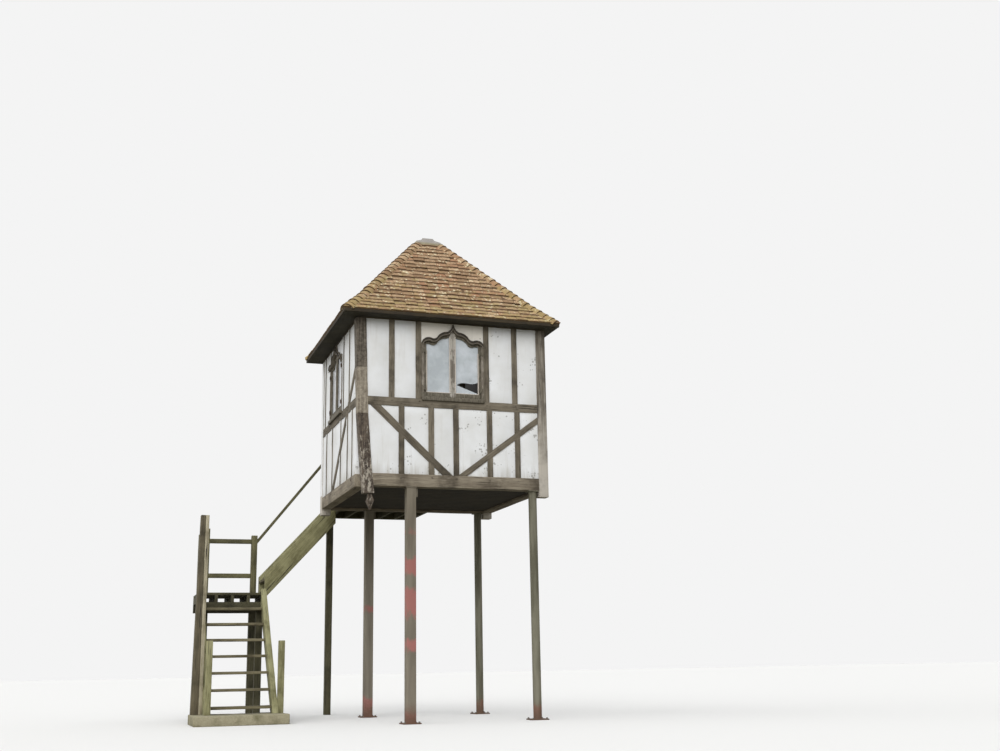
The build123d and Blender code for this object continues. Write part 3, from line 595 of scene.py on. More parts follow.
def oak_peg():
    """A peg head: a short octagon, its end chamfered by the mallet, pointing up from the origin."""
    peg = rod(8, peg_radius, 0.02, (0, 0, peg_proud - 0.01))
    for face in peg.data.polygons:
        face.select = face.normal.z > 0.9
    bpy.ops.object.mode_set(mode="EDIT")
    bpy.ops.mesh.inset(thickness=0.002)
    bpy.ops.transform.translate(value=(0, 0, 0.0018))
    bpy.ops.object.mode_set(mode="OBJECT")
    return peg


def wall_point(wall, along, out, height):
    """A point of a wall face: along runs to the right as seen from outside."""
    if wall == "front":
        return Vector((cabin.x + along, cabin.y - half_y - out, height))
    if wall == "back":
        return Vector((cabin.x - along, cabin.y + half_y + out, height))
    if wall == "left":
        return Vector((cabin.x - half_x - out, cabin.y - along, height))
    return Vector((cabin.x + half_x + out, cabin.y + along, height))


WALL_TURN = {"front": 0.0, "right": 90.0, "back": 180.0, "left": -90.0}


def wall_place(wall, along, out, height):
    """The frame of a fitting on a wall, its z axis pointing out of the wall and y up."""
    turn = Matrix.Rotation(math.radians(WALL_TURN[wall]), 4, "Z") @ Matrix.Rotation(math.radians(90), 4, "X")
    return Matrix.Translation(wall_point(wall, along, out, height)) @ turn


def stud_lines(node, wall):
    """The middles, feet, heads and widths of the upright timbers of a wall, read from its CAD node."""
    mesh = copy_of(node, "measure").data
    found = []
    for group in islands(mesh):
        points = [mesh.vertices[i].co for i in group]
        xs = [p.x for p in points] if wall in ("front", "back") else [p.y for p in points]
        zs = [p.z for p in points]
        if max(xs) - min(xs) < 0.12:
            middle = (max(xs) + min(xs)) / 2
            along = {"front": middle - cabin.x, "back": cabin.x - middle,
                     "left": cabin.y - middle, "right": middle - cabin.y}[wall]
            found.append((along, min(zs), max(zs), max(xs) - min(xs)))
    bpy.data.objects.remove(bpy.data.objects["measure"])
    return found


chance = random.Random(5)
places = []
studs = {wall: stud_lines(wall + "_wall_studs", wall) for wall in WALL_TURN}
for wall, lines in studs.items():
    for along, foot, head, width in lines:
        for level in (foot - peg_inset, head + peg_inset):
            off = chance.uniform(-0.012, 0.012)
            place = wall_place(wall, along + off, 0.0, level + off)
            places.append(place @ Matrix.Rotation(chance.random(), 4, "Z"))
pegs = copies(oak_peg(), places, "frame_pegs")
lay_grain(pegs, 31)
hand_in(pegs, oak, "weathered_oak")

# Floor: softwood joists between the sills and 145 mm boards nailed across them.
# Sawn pine, never painted, brown from damp; its near-black colour on the side that shows below is partly
# painted shade.
pine_with_painted_shade = weathered_timber("damp sawn pine with painted shade", "#332b1c", "#231c10", "#130f08", "#3a3226")
hand_in(timber("floor_joists", 41, 0.003, 0.003, 0.4), pine_with_painted_shade, "dark_softwood", "floor_joists")

board_width = 0.145
board_gap = 0.004


def boards_from(node, name, along_x, width, gap, seed):
    """Cuts a sheet of flooring from the CAD into separate boards with eased, uneven edges."""
    sheet = copy_of(node, name)
    low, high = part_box(node)
    start, end = (low.y, high.y) if along_x else (low.x, high.x)
    count = max(1, round((end - start) / width))
    step = (end - start) / count
    pieces = []
    for i in range(count):
        board = new_object(name, sheet.data.copy())
        only(board)
        bpy.ops.object.mode_set(mode="EDIT")
        sides = ((start + i * step + gap / 2, True), (start + (i + 1) * step - gap / 2, False))
        for edge, keep_above in sides:
            point = (0, edge, 0) if along_x else (edge, 0, 0)
            normal = (0, 1, 0) if along_x else (1, 0, 0)
            bpy.ops.mesh.select_all(action="SELECT")
            bpy.ops.mesh.bisect(
                plane_co=point, plane_no=normal, use_fill=True,
                clear_inner=keep_above, clear_outer=not keep_above
            )
        bpy.ops.object.mode_set(mode="OBJECT")
        if len(board.data.polygons) > 4:
            pieces.append(board)
        else:
            bpy.data.objects.remove(board)
    bpy.data.objects.remove(sheet)
    floor = join(pieces, name)
    lay_grain(floor, seed)
    return ease_edges(floor, 0.0022, 2, 40)


hand_in(boards_from("floor_boards", "floor_planks", True, board_width, board_gap, 42), pine_with_painted_shade,
        "dark_softwood", "floor_boards")

# Panels between the timbers: lime plaster on laths, floated by hand and limewashed white.
# The face is gently uneven, cold white where it is dry, cream under the windows' hoods, with grey
# damp at the foot and black specks of mould where rain runs, most of them low on the right.
finish, tree, shader = start_finish("limewashed plaster", 0.9)
place = object_point(tree)
height = coordinate(tree, place, 2)
cloud = noise(tree, place, 2.6, 5.0, 0.55)
brush = noise(tree, place, 42.0, 6.0, 0.6)
run_map = stretch(tree, place, 20.0, 1.3)
runs = noise(tree, run_map, 1.0, 6.0, 0.6)
spread = remap(tree, cloud, 0.36, 0.66)
cold = blend(tree, spread, "#d4d4d2", "#dfe0e1")
over_window = (cabin.x - 0.022, cabin.y - half_y, plate_low.z - 0.05)
away = add(tree, "ShaderNodeVectorMath", {0: place, 1: over_window}, operation="DISTANCE").outputs["Value"]
near = remap(tree, away, 0.62, 0.42, 0.0, 0.8)
white = blend(tree, near, cold, "#e0d9cc")
run_amount = remap(tree, runs, 0.56, 0.78, 0.0, 0.35)
streaked = blend(tree, run_amount, white, "#b9b4a9")
sill_damp = remap(tree, height, 3.62, 3.20)
damp = maths(tree, "MULTIPLY", sill_damp, runs)
damp_amount = remap(tree, damp, 0.32, 0.66, 0.0, 0.6)
damped = blend(tree, damp_amount, streaked, "#aaa498")
speck = add(tree, "ShaderNodeTexVoronoi", {"Vector": place, "Scale": 26.0}).outputs["Distance"]
speck_size = noise(tree, place, 5.5, 3.0)
side = coordinate(tree, place, 0)
rightwards = remap(tree, side, cabin.x - half_x, cabin.x + half_x, -0.04, 0.055)
lower_down = remap(tree, height, 5.2, 3.3, -0.05, 0.03)
both = maths(tree, "ADD", rightwards, lower_down)
likely = maths(tree, "ADD", speck_size, both)
radius = remap(tree, likely, 0.56, 0.70, 0.0, 0.46)
inside = maths(tree, "SUBTRACT", radius, speck)
mould = remap(tree, inside, 0.0, 0.14, 0.0, 0.62)
specked = blend(tree, mould, damped, "#76736b")
floated = maths(tree, "MULTIPLY", cloud, 4.0)
surface = maths(tree, "ADD", floated, brush)
relief = bump(tree, surface, 0.35, 0.003)
dress(shader, specked, relief)
limewash = finish
for wall in WALL_TURN:
    node = wall + "_wall_panels"
    hand_in(shaped(node, 0.22, 0.006, 0.007, 2, 50), limewash, "lime_render", node)

# Left wall: the limewash has been carried over the uprights and the far corner post, so that only
# the front edges of the uprights, the rail and the brace show bare oak.
bare_edge = 0.024
washed_studs = bpy.data.objects["left_wall_studs_dressed"]
washed_posts = bpy.data.objects["plain_corner_posts_dressed"]
washed_studs.data.materials.append(limewash)
washed_posts.data.materials.append(limewash)
cut(washed_studs, [
    ((0, cabin.y - along - width / 2 + bare_edge, 0), (0, 1, 0)) for along, foot, head, width in studs["left"]
])
for face in washed_studs.data.polygons:
    for along, foot, head, width in studs["left"]:
        from_edge = face.center.y - (cabin.y - along - width / 2)
        if bare_edge < from_edge < width + 0.01 and foot < face.center.z < head and face.normal.x < -0.5:
            face.material_index = 1
for face in washed_posts.data.polygons:
    if face.normal.x < -0.5 and face.center.x < cabin.x and sill_high.z < face.center.z < plate_low.z:
        face.material_index = 1

# Windows: oak frames with two casements each under a shouldered ogee hood, joined and painted.
# The paint is almost gone: grey-brown wood with pinkish white flakes, and a darker hood where the
# moulding has kept its tar. The hood has a bold roll at its outer edge and a small bead inside.
finish, tree, shader = start_finish("worn joinery paint", 0.68)
place = object_point(tree)
along_map = stretch(tree, place, 55.0, 9.0)
worn = noise(tree, along_map, 1.0, 8.0, 0.68)
broad = noise(tree, place, 5.0, 4.0)
fibre_map = stretch(tree, place, 260.0, 14.0)
fibre = noise(tree, fibre_map, 1.0, 4.0)
wood = blend(tree, fibre, "#524a3e", "#7d7568")
amount = maths(tree, "ADD", worn, broad)
kept = remap(tree, amount, 1.04, 1.16, 0.0, 0.8)
painted = blend(tree, kept, wood, "#91897e")
rough = remap(tree, kept, 0.0, 1.0, 0.82, 0.55)
ridge = bump(tree, fibre, 0.35, 0.002)
edge = bump(tree, kept, 0.35, 0.001, ridge)
dress(shader, painted, edge, rough)
frame_paint = finish

finish, tree, shader = start_finish("pale worn casement paint", 0.6)
place = object_point(tree)
along_map = stretch(tree, place, 70.0, 12.0)
worn = noise(tree, along_map, 1.0, 8.0, 0.7)
broad = noise(tree, place, 6.5, 4.0)
amount = maths(tree, "ADD", worn, broad)
kept = remap(tree, amount, 0.92, 1.06)
painted = blend(tree, kept, "#6a6257", "#9f998f")
edge = bump(tree, kept, 0.4, 0.001)
dress(shader, painted, edge)
casement_paint = finish

finish, tree, shader = start_finish("dark worn rail paint", 0.7)
place = object_point(tree)
along_map = stretch(tree, place, 60.0, 14.0)
worn = noise(tree, along_map, 1.0, 8.0, 0.7)
kept = remap(tree, worn, 0.42, 0.70)
painted = blend(tree, kept, "#443e30", "#7c7465")
edge = bump(tree, kept, 0.4, 0.001)
dress(shader, painted, edge)
rail_paint = finish

finish, tree, shader = start_finish("tarred hood moulding", 0.7)
place = object_point(tree)
worn = noise(tree, place, 34.0, 7.0, 0.65)
shown = remap(tree, worn, 0.50, 0.70)
tarred = blend(tree, shown, "#2a2319", "#544a3c")
relief = bump(tree, worn, 0.3, 0.002)
dress(shader, tarred, relief)
hood_paint = finish

window_half = 0.447
window_tip = plate_low.z - 0.010
window_foot = rail_high.z
ogee_arcs = [
    ((0.030, -0.074), (0.080, -0.112)),
    ((0.150, -0.129), (0.210, -0.174)),
    ((0.247, -0.214), (0.296, -0.221)),
    ((0.388, -0.217), (0.447, -0.292)),
]
hood_depth = 0.048
hood_face = 0.034
rail_depth = 0.090
stile_reach = 0.040
roll_radius = 0.010
bead_radius = 0.0065


def arc_points(start, through, end, count):
    """Points along the arc through three points."""
    (ax, ay), (bx, by), (cx, cy) = start, through, end
    d = 2 * (ax * (by - cy) + bx * (cy - ay) + cx * (ay - by))
    aa, bb, cc = ax ** 2 + ay ** 2, bx ** 2 + by ** 2, cx ** 2 + cy ** 2
    ux = (aa * (by - cy) + bb * (cy - ay) + cc * (ay - by)) / d
    uy = (aa * (cx - bx) + bb * (ax - cx) + cc * (bx - ax)) / d
    radius = math.hypot(ax - ux, ay - uy)
    first, middle, last = (math.atan2(y - uy, x - ux) for x, y in (start, through, end))
    turn = (last - first + math.pi) % (2 * math.pi) - math.pi
    if abs((middle - first + math.pi) % (2 * math.pi) - math.pi) > abs(turn):
        turn -= math.copysign(2 * math.pi, turn)
    angles = [first + turn * i / count for i in range(1, count + 1)]
    return [(ux + radius * math.cos(angle), uy + radius * math.sin(angle)) for angle in angles]


def ogee_line(drop):
    """The line of the window head, lowered by a drop, from the left shoulder over the tip to the right."""
    half = [(0.0, window_tip - drop)]
    for through, end in ogee_arcs:
        start = half[-1]
        half += arc_points(
            start, (through[0], window_tip + through[1] - drop), (end[0], window_tip + end[1] - drop), 7
        )
    return [(-x, z) for x, z in reversed(half[1:])] + half


def moulding(name, wall, along, drop, out, radius):
    """A round moulding swept along the ogee, lying on the face of the hood."""
    path = [p for p in ogee_line(drop) if abs(p[0]) < window_half - radius * 0.5]
    line = bpy.data.curves.new(name, "CURVE")
    line.dimensions = "3D"
    line.bevel_depth = radius
    line.bevel_resolution = 3
    line.use_fill_caps = True
    spline = line.splines.new("POLY")
    spline.points.add(len(path) - 1)
    for point, (x, z) in zip(spline.points, path):
        point.co = (*wall_point(wall, along + x, out, z), 1.0)
    only(new_object(name, line))
    bpy.ops.object.convert(target="MESH")
    bpy.ops.object.shade_smooth()
    return bpy.context.object


window_along = {"front": -0.022, "left": -0.190, "right": 0.190}
for wall, along in window_along.items():
    node = wall + "_window_frame"
    fixed = copy_of(node, node + "_dressed")
    ease_edges(fixed, 0.004, 2, 40)
    cut(fixed, [((0, 0, window_foot + rail_depth), (0, 0, 1))])
    for paint in (frame_paint, hood_paint, rail_paint):
        fixed.data.materials.append(paint)
    face_line = wall_point(wall, along, hood_face, 0)
    for face in fixed.data.polygons:
        middle = face.center
        depth_out = {"front": face_line.y - middle.y, "left": face_line.x - middle.x,
                     "right": middle.x - face_line.x}[wall]
        if depth_out > -0.030 and middle.z > window_tip - 0.36:
            face.material_index = 1
        elif middle.z < window_foot + rail_depth:
            face.material_index = 2
    hand_in(fixed, None, "window_joinery", node)
    roll = moulding(wall + "_hood_roll", wall, along, 0.009, hood_face, roll_radius)
    hand_in(roll, hood_paint, "window_joinery")
    bead = moulding(wall + "_hood_bead", wall, along, hood_depth - 0.007, hood_face - 0.004, bead_radius)
    hand_in(bead, frame_paint, "window_joinery")
    leaves = copy_of(wall + "_casements", wall + "_casements_dressed")
    ease_edges(leaves, 0.003, 2, 40)
    across = (1, 0, 0) if wall == "front" else (0, 1, 0)
    cut(leaves, [(wall_point(wall, along + side * stile_reach, 0, 0), across) for side in (-1, 1)])
    leaves.data.materials.append(casement_paint if wall == "front" else rail_paint)
    leaves.data.materials.append(rail_paint)
    centre_line = wall_point(wall, along, 0, 0)
    for face in leaves.data.polygons:
        from_centre = face.center.x - centre_line.x if wall == "front" else face.center.y - centre_line.y
        face.material_index = 0 if abs(from_centre) < stile_reach else 1
    hand_in(leaves, None, "window_joinery", wall + "_casements")

# Glazing of the casements: thin old sheet glass held by putty, the front right pane cracked so
# that a shard is missing. Its light blue-grey colour is a painted reflection of a pale sky, a little
# wavy and dusty along the edges, and the left window's glass is painted paler as a painted reflection.
finish, tree, shader = start_finish("old sheet glass", 0.06, ior=1.52)
place = object_point(tree)
wave = noise(tree, place, 5.0, 3.0)
dust = noise(tree, place, 16.0, 7.0, 0.7)
spread = remap(tree, wave, 0.35, 0.65)
# Painted reflection of a pale sky, rippled by the wave noise.
sky = blend(tree, spread, "#b9c0c4", "#d3d9de")
dusty = remap(tree, dust, 0.55, 0.75, 0.0, 0.5)
pale = blend(tree, dusty, sky, "#a5a9a8")
# The left window's glass, by the left wall, is painted near white: a painted reflection of the bright sky.
sideways = coordinate(tree, place, 0)
left_glass_painted_reflection_share = remap(tree, sideways, cabin.x - half_x + 0.10, cabin.x - half_x + 0.05, 0.0, 0.8)
glass_with_painted_reflection = blend(tree, left_glass_painted_reflection_share, pale, "#f0f1f4")
shader.inputs["Alpha"].default_value = 0.72
shader.inputs["Specular IOR Level"].default_value = 0.8
ripple = bump(tree, wave, 0.12, 0.01)
dress(shader, glass_with_painted_reflection, ripple)
glass_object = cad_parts["window_glass"]
glass_object.data.materials.clear()
glass_object.data.materials.append(finish)

# Putty and ironwork of the casements: a fillet of putty up both sides and along the foot of each
# pane, and a pair of small wrought hinges on each outer stile.
finish, tree, shader = start_finish("forged iron, rusted", 0.72, metallic=0.55)
place = object_point(tree)
pits = noise(tree, place, 140.0, 6.0, 0.7)
rusty = blend(tree, pits, "#1f1a16", "#5a4030")
relief = bump(tree, pits, 0.4, 0.001)
dress(shader, rusty, relief)
forged_iron = finish

hinge_height = 0.085
hinge_leaf = 0.030
knuckle_radius = 0.006


def butterfly_hinge(name):
    """A small wrought hinge: two waisted leaves either side of a knuckle, lying on the xy plane."""
    parts = []
    for side in (-1, 1):
        leaf = bar((hinge_leaf, hinge_height, 0.0024), (side * hinge_leaf / 2, 0, 0.0012))
        unselect(leaf)
        for vertex in leaf.data.vertices:
            vertex.select = abs(vertex.co.x) < 0.001
        bpy.ops.object.mode_set(mode="EDIT")
        bpy.ops.transform.resize(value=(1, 0.45, 1), center_override=(0, 0, 0))
        bpy.ops.object.mode_set(mode="OBJECT")
        parts.append(leaf)
    knuckle = rod(12, knuckle_radius, hinge_height * 0.5, (0, 0, 0.004), True)
    for face in knuckle.data.polygons:
        face.select = abs(face.normal.y) > 0.9
    bpy.ops.object.mode_set(mode="EDIT")
    bpy.ops.mesh.inset(thickness=0.002, depth=0.002)
    bpy.ops.object.mode_set(mode="OBJECT")
    parts.append(knuckle)
    return join(parts, name)


hinge_out = 0.009
for walls, hinge_finish in ((("front",), rail_paint), (("left", "right"), forged_iron)):
    places = []
    for wall in walls:
        for side in (-1, 1):
            for level in (window_foot + 0.15, window_foot + 0.68):
                along = window_along[wall] + side * (window_half - 0.038)
                places.append(wall_place(wall, along, hinge_out, level))
    hinges = copies(butterfly_hinge("casement hinge"), places, walls[0] + "_casement_hinges")
    hand_in(hinges, hinge_finish, "square_post_paint")

putty, tree, shader = start_finish("weathered linseed putty", 0.8)
place = object_point(tree)
crumble = noise(tree, place, 70.0, 6.0)
shade = blend(tree, crumble, "#a59c91", "#d6cec4")
relief = bump(tree, crumble, 0.5, 0.002)
dress(shader, shade, relief)

stile_edge = 0.071
meeting_edge = 0.034
pane_foot = 0.094
putty_width = 0.012
putty_depth = 0.022
putty_inset = 0.012


def putty_strip(wall, along, x0, x1, z0, z1):
    """A strip of putty in the angle between a stile and the glass, to be eased once joined."""
    middle = wall_point(wall, along + (x0 + x1) / 2, -putty_inset, (z0 + z1) / 2)
    wide, high = x1 - x0, z1 - z0
    return bar((wide, putty_depth, high) if wall == "front" else (putty_depth, wide, high), middle)


low = window_foot + pane_foot
for wall, along in window_along.items():
    strips = []
    for side in (-1, 1):
        outer = side * (window_half - stile_edge)
        inner = side * meeting_edge
        shoulder = window_tip - 0.29 - hood_depth - 0.05
        for edge, turn in ((outer, -side), (inner, side)):
            x0, x1 = sorted((edge, edge + turn * putty_width))
            top = shoulder if edge == outer else window_tip - hood_depth - 0.12
            strips.append(putty_strip(wall, along, x0, x1, low, top))
        x0, x1 = sorted((outer, inner))
        strips.append(putty_strip(wall, along, x0, x1, low, low + putty_width))
    putty_lines = ease_edges(join(strips, wall + "_window_putty"), 0.004, 1, 40)
    hand_in(putty_lines, putty if wall == "front" else rail_paint, "window_joinery")

# Back door: a plank door of five oak boards on three ledges, hung on two long strap hinges and
# closed by a ring latch. Same weathered oak as the frame.
leaf_low, leaf_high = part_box("plank_door")
frame_piece = timber("door_frame", 51, 0.004, 0.003)
hand_in(frame_piece, oak, "weathered_oak", "door_frame")
planks = copy_of("plank_door", "plank_door_dressed")
plank_count = 5
plank_width = (leaf_high.x - leaf_low.x) / plank_count
joint_depth = 0.006
joint_half = 0.004
cut(planks, [
    ((leaf_low.x + i * plank_width + shift, 0, 0), (1, 0, 0))
    for i in range(1, plank_count) for shift in (-joint_half, 0.0, joint_half)
])
outer_face = leaf_high.y
for vertex in planks.data.vertices:
    joint = round((vertex.co.x - leaf_low.x) / plank_width)
    on_joint = abs(vertex.co.x - leaf_low.x - joint * plank_width) < 0.001 and 0 < joint < plank_count
    if on_joint and vertex.co.y > outer_face - 0.001:
        vertex.co.y -= joint_depth
lay_grain(planks, 52)
ease_edges(planks, 0.003, 2, 40)
hand_in(planks, oak, "weathered_oak", "plank_door")


def strap_hinge(length):
    """A wrought strap that tapers to a spear point, with nail heads, lying on the xy plane."""
    strap = bar((length, 0.044, 0.005), (length / 2, 0, 0.0025))
    cut(strap, [((length * share, 0, 0), (1, 0, 0)) for share in (0.86, 0.93)])
    for vertex in strap.data.vertices:
        share = vertex.co.x / length
        if share > 0.99:
            vertex.co.y *= 0.08
        elif share > 0.92:
            vertex.co.y *= 0.95
        elif share > 0.85:
            vertex.co.y *= 0.38
    parts = [strap]
    for share in (0.08, 0.27, 0.46, 0.65, 0.93):
        bpy.ops.mesh.primitive_uv_sphere_add(
            segments=10, ring_count=6, radius=0.008, location=(length * share, 0, 0.004)
        )
        nail = bpy.context.object
        nail.scale = (1, 1, 0.55)
        settle(nail)
        parts.append(nail)
    parts.append(rod(14, 0.010, 0.055, (-0.006, 0, 0.006), True))
    return join(parts, "strap hinge")


door_out = leaf_high.y - (cabin.y + half_y)
door_along = cabin.x - (leaf_low.x + leaf_high.x) / 2
door_half = (leaf_high.x - leaf_low.x) / 2
places = []
for level in (leaf_low.z + 0.24, leaf_high.z - 0.18):
    places.append(wall_place("back", door_along - door_half + 0.004, door_out, level))
straps = ease_edges(copies(strap_hinge(0.56), places, "door_straps"), 0.0012, 1, 50)
hand_in(straps, forged_iron, "square_post_paint")

ring_level = leaf_low.z + 0.94
ring_centre = wall_point("back", door_along + door_half - 0.075, door_out + 0.012, ring_level)
bpy.ops.mesh.primitive_torus_add(
    major_segments=28, minor_segments=8, major_radius=0.036, minor_radius=0.0045,
    location=ring_centre - Vector((0, 0, 0.034)), rotation=(math.radians(84), 0, 0)
)
ring = settle(bpy.context.object)
rose = rod(24, 0.027, 0.006, ring_centre - Vector((0, 0.009, 0)), True)
boss = rod(14, 0.0075, 0.024, ring_centre - Vector((0, 0.002, 0)), True)
latch = ease_edges(join([ring, rose, boss], "ring_latch"), 0.0012, 2, 50)
hand_in(latch, forged_iron, "square_post_paint")

# Roof timbers: hip and common rafters of softwood, near black partly as painted shade, and the dark stained
# fascia and soffit that close the eaves. The boards are nailed in lengths of about 1.5 m and stained
# dark brown; the soffit, whose faces look down, is painted near black as painted shade.
hand_in(timber("rafters", 61, 0.003, 0.004, 0.3), pine_with_painted_shade, "dark_softwood", "rafters")
fascia_brown = weathered_timber("brown stained eaves board", "#463a25", "#332917", "#1c150c", "#4d4436")
soffit_painted_shade = weathered_timber("stained soffit with painted shade", "#403a25", "#2c2716", "#17130a", "#4d4436")
eaves = shaped("eaves_boards", 0.22, 0.006, 0.004, 2, 40, 62)
eaves.data.materials.append(fascia_brown)
eaves.data.materials.append(soffit_painted_shade)
# Faces that look down take the near-black copy: painted shade on the soffit.
for face in eaves.data.polygons:
    face.material_index = 1 if face.normal.z < -0.6 else 0
hand_in(eaves, None, "dark_eaves_board", "eaves_boards")

# Roof covering: hand-made plain clay tiles, 165 by 265 by 11 mm, hung in 21 double-lapped courses
# at a gauge of about 100 mm on sawn battens, and cut to the hips. Each tile is cambered and sits
# a little differently from its neighbours.
roof_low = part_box("front_roof_slope")[0]
roof_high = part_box("back_roof_slope")[1]
roof_middle = (roof_low + roof_high) / 2
eave_half_x = (roof_high.x - roof_low.x) / 2
eave_half_y = (roof_high.y - roof_low.y) / 2
eave_top = roof_low.z + 0.026
foot_run = 0.300
foot_rise = foot_run * math.tan(math.radians(45))
main_run = eave_half_y - foot_run - 0.120
main_rise = main_run * math.tan(math.radians(49))
foot_length = math.hypot(foot_run, foot_rise)
main_length = math.hypot(main_run, main_rise)
tile_width = 0.165
tile_length = 0.265
tile_thickness = 0.014
tile_gap = 0.003
courses = 21
gauge = (foot_length + main_length) / courses
tail_lift = 0.001
under_cap = 0.064


def eave_halves(side):
    """Half the eave's length along a side of the roof, and half its reach out to that side."""
    halves = (eave_half_x, eave_half_y)
    return halves if side in ("front", "back") else halves[::-1]


def slope_point(distance):
    """How far in and up the roof surface has come at a distance from the eave."""
    if distance < foot_length:
        share = distance / foot_length
        return foot_run * share, foot_rise * share
    share = (distance - foot_length) / main_length
    return foot_run + main_run * share, foot_rise + main_rise * share


def plain_tile(length):
    """One tile, tail at the origin, running up along y: cambered both ways with soft edges."""
    bpy.ops.object.select_all(action="DESELECT")
    bpy.ops.mesh.primitive_grid_add(x_subdivisions=4, y_subdivisions=3, size=1, location=(0, 0, 0))
    tile = bpy.context.object
    tile.scale = (tile_width - tile_gap, length, 1)
    tile.location = (0, length / 2, 0)
    settle(tile)
    for vertex in tile.data.vertices:
        across = vertex.co.x / tile_width
        up = vertex.co.y / length - 0.5
        vertex.co.z = 0.006 * (0.25 - across ** 2) + 0.007 * (0.25 - up ** 2)
    return fire(tile, tile_thickness, 0.0018, 1)


def fire(tile, thickness, softness, segments):
    """Gives a shell of clay its thickness and soft edges, and stores how far up each point lies."""
    thick = tile.modifiers.new("thick", "SOLIDIFY")
    thick.thickness = thickness
    thick.offset = -1
    bpy.ops.object.modifier_apply(modifier="thick")
    bevel = tile.modifiers.new("soft", "BEVEL")
    bevel.width = softness
    bevel.segments = segments
    bevel.limit_method = "ANGLE"
    bevel.angle_limit = math.radians(50)
    bpy.ops.object.modifier_apply(modifier="soft")
    up = tile.data.attributes.new("up", "FLOAT", "POINT")
    up.data.foreach_set("value", [vertex.co.y for vertex in tile.data.vertices])
    return tile


def slope_frame(side, along, distance, lift, tilt):
    """The frame of a tile on a slope: x along the eave, y up the slope, z out of the roof."""
    run, rise = slope_point(distance)
    ahead_run, ahead_rise = slope_point(distance + 0.02)
    pitch = math.atan2(ahead_rise - rise, ahead_run - run)
    half = eave_halves(side)[1]
    turn = Matrix.Rotation(math.radians(WALL_TURN[side]), 4, "Z")
    here = turn @ Matrix.Translation((along, -half + run, eave_top + rise))
    lean = Matrix.Rotation(pitch - tilt, 4, "X")
    middle = Matrix.Translation((roof_middle.x, roof_middle.y, 0))
    return middle @ here @ lean @ Matrix.Translation((0, 0, lift))


def cut_to_hips(piece, side):
    """Trims what lies past the two hip lines of a slope and what would stand up inside the lead cap."""
    turn = Matrix.Rotation(math.radians(WALL_TURN[side]), 3, "Z")
    half_along, half_out = eave_halves(side)
    planes = []
    for sign in (-1, 1):
        corner = Vector((roof_middle.x, roof_middle.y, 0)) + turn @ Vector((sign * half_along, -half_out, 0))
        planes.append((corner, turn @ Vector((sign, 1, 0)).normalized()))
    planes.append(((0, 0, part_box("lead_cap")[1].z - under_cap), (0, 0, 1)))
    cut(piece, planes, use_fill=True, clear_outer=True)


# Hand-made clay tile: sanded buff-brown clay, each tile fired to its own shade. It gives the eye
# pale brown courses between near-black lines of painted shade, with some dirt in them, on every
# tail and in the angle above it, with pale lichen spots all over and olive moss that thickens towards the
# eaves.
def clay(name, hip, tail_shade_low, tail_shade_high):
    finish, tree, shader = start_finish(name, 0.86)
    place = object_point(tree)
    tone = stored(tree, "tone", "Fac")
    second = maths(tree, "MULTIPLY", tone, 7.31)
    other = maths(tree, "FRACT", second)
    height = coordinate(tree, place, 2)
    grit = noise(tree, place, 130.0, 5.0, 0.65)
    blotch = noise(tree, place, 36.0, 5.0, 0.6)
    fired = blend(tree, tone, "#86684a", "#b89b79")
    warm = remap(tree, other, 0.60, 1.0, 0.0, 0.7)
    varied = blend(tree, warm, fired, "#9c6b4b")
    dark_tiles = remap(tree, other, 0.20, 0.0, 0.0, 0.45)
    burnt = blend(tree, dark_tiles, varied, "#6f5237")
    cloudy = remap(tree, blotch, 0.46, 0.66, 0.0, 0.75)
    sooty = blend(tree, cloudy, burnt, "#745a3a")
    spots = add(tree, "ShaderNodeTexVoronoi", {"Vector": place, "Scale": 26.0}).outputs["Distance"]
    spot_size = noise(tree, place, 11.0, 4.0)
    reach = remap(tree, spot_size, 0.43, 0.66, 0.0, 0.6)
    within = maths(tree, "SUBTRACT", reach, spots)
    lichen = remap(tree, within, 0.0, 0.08, 0.0, 0.85)
    spotted = blend(tree, lichen, sooty, "#d6c9a6")
    low = remap(tree, height, eave_top + 1.2, eave_top, -0.10 + hip, 0.12 + hip)
    moss_noise = noise(tree, place, 7.5, 8.0, 0.68)
    growth = maths(tree, "ADD", moss_noise, low)
    moss = remap(tree, growth, 0.52, 0.66, 0.0, 0.66)
    green = blend(tree, grit, "#83713f", "#ac9a66")
    mossy = blend(tree, moss, spotted, green)
    # Near-black lines: painted shade, with some dirt, on the end face of each tail and on the band of tile
    # under the next course's tail.
    up = stored(tree, "up", "Fac")
    ragged = maths(tree, "MULTIPLY_ADD", blotch, 0.050, -0.025)
    above_tail = maths(tree, "ADD", up, ragged)
    angle = remap(tree, above_tail, tail_shade_low, tail_shade_high, 0.0, 0.8)
    end = remap(tree, up, 0.004, 0.0015, 0.0, 0.8)
    tail_shade_and_soot = maths(tree, "MAXIMUM", angle, end)
    lined = blend(tree, tail_shade_and_soot, mossy, "#49321a")
    rough = remap(tree, grit, 0.0, 1.0, 0.75, 0.95)
    cushion = maths(tree, "MULTIPLY", moss, 1.5)
    surface = maths(tree, "ADD", cushion, grit)
    relief = bump(tree, surface, 0.6, 0.004)
    dress(shader, lined, relief, rough)
    return finish
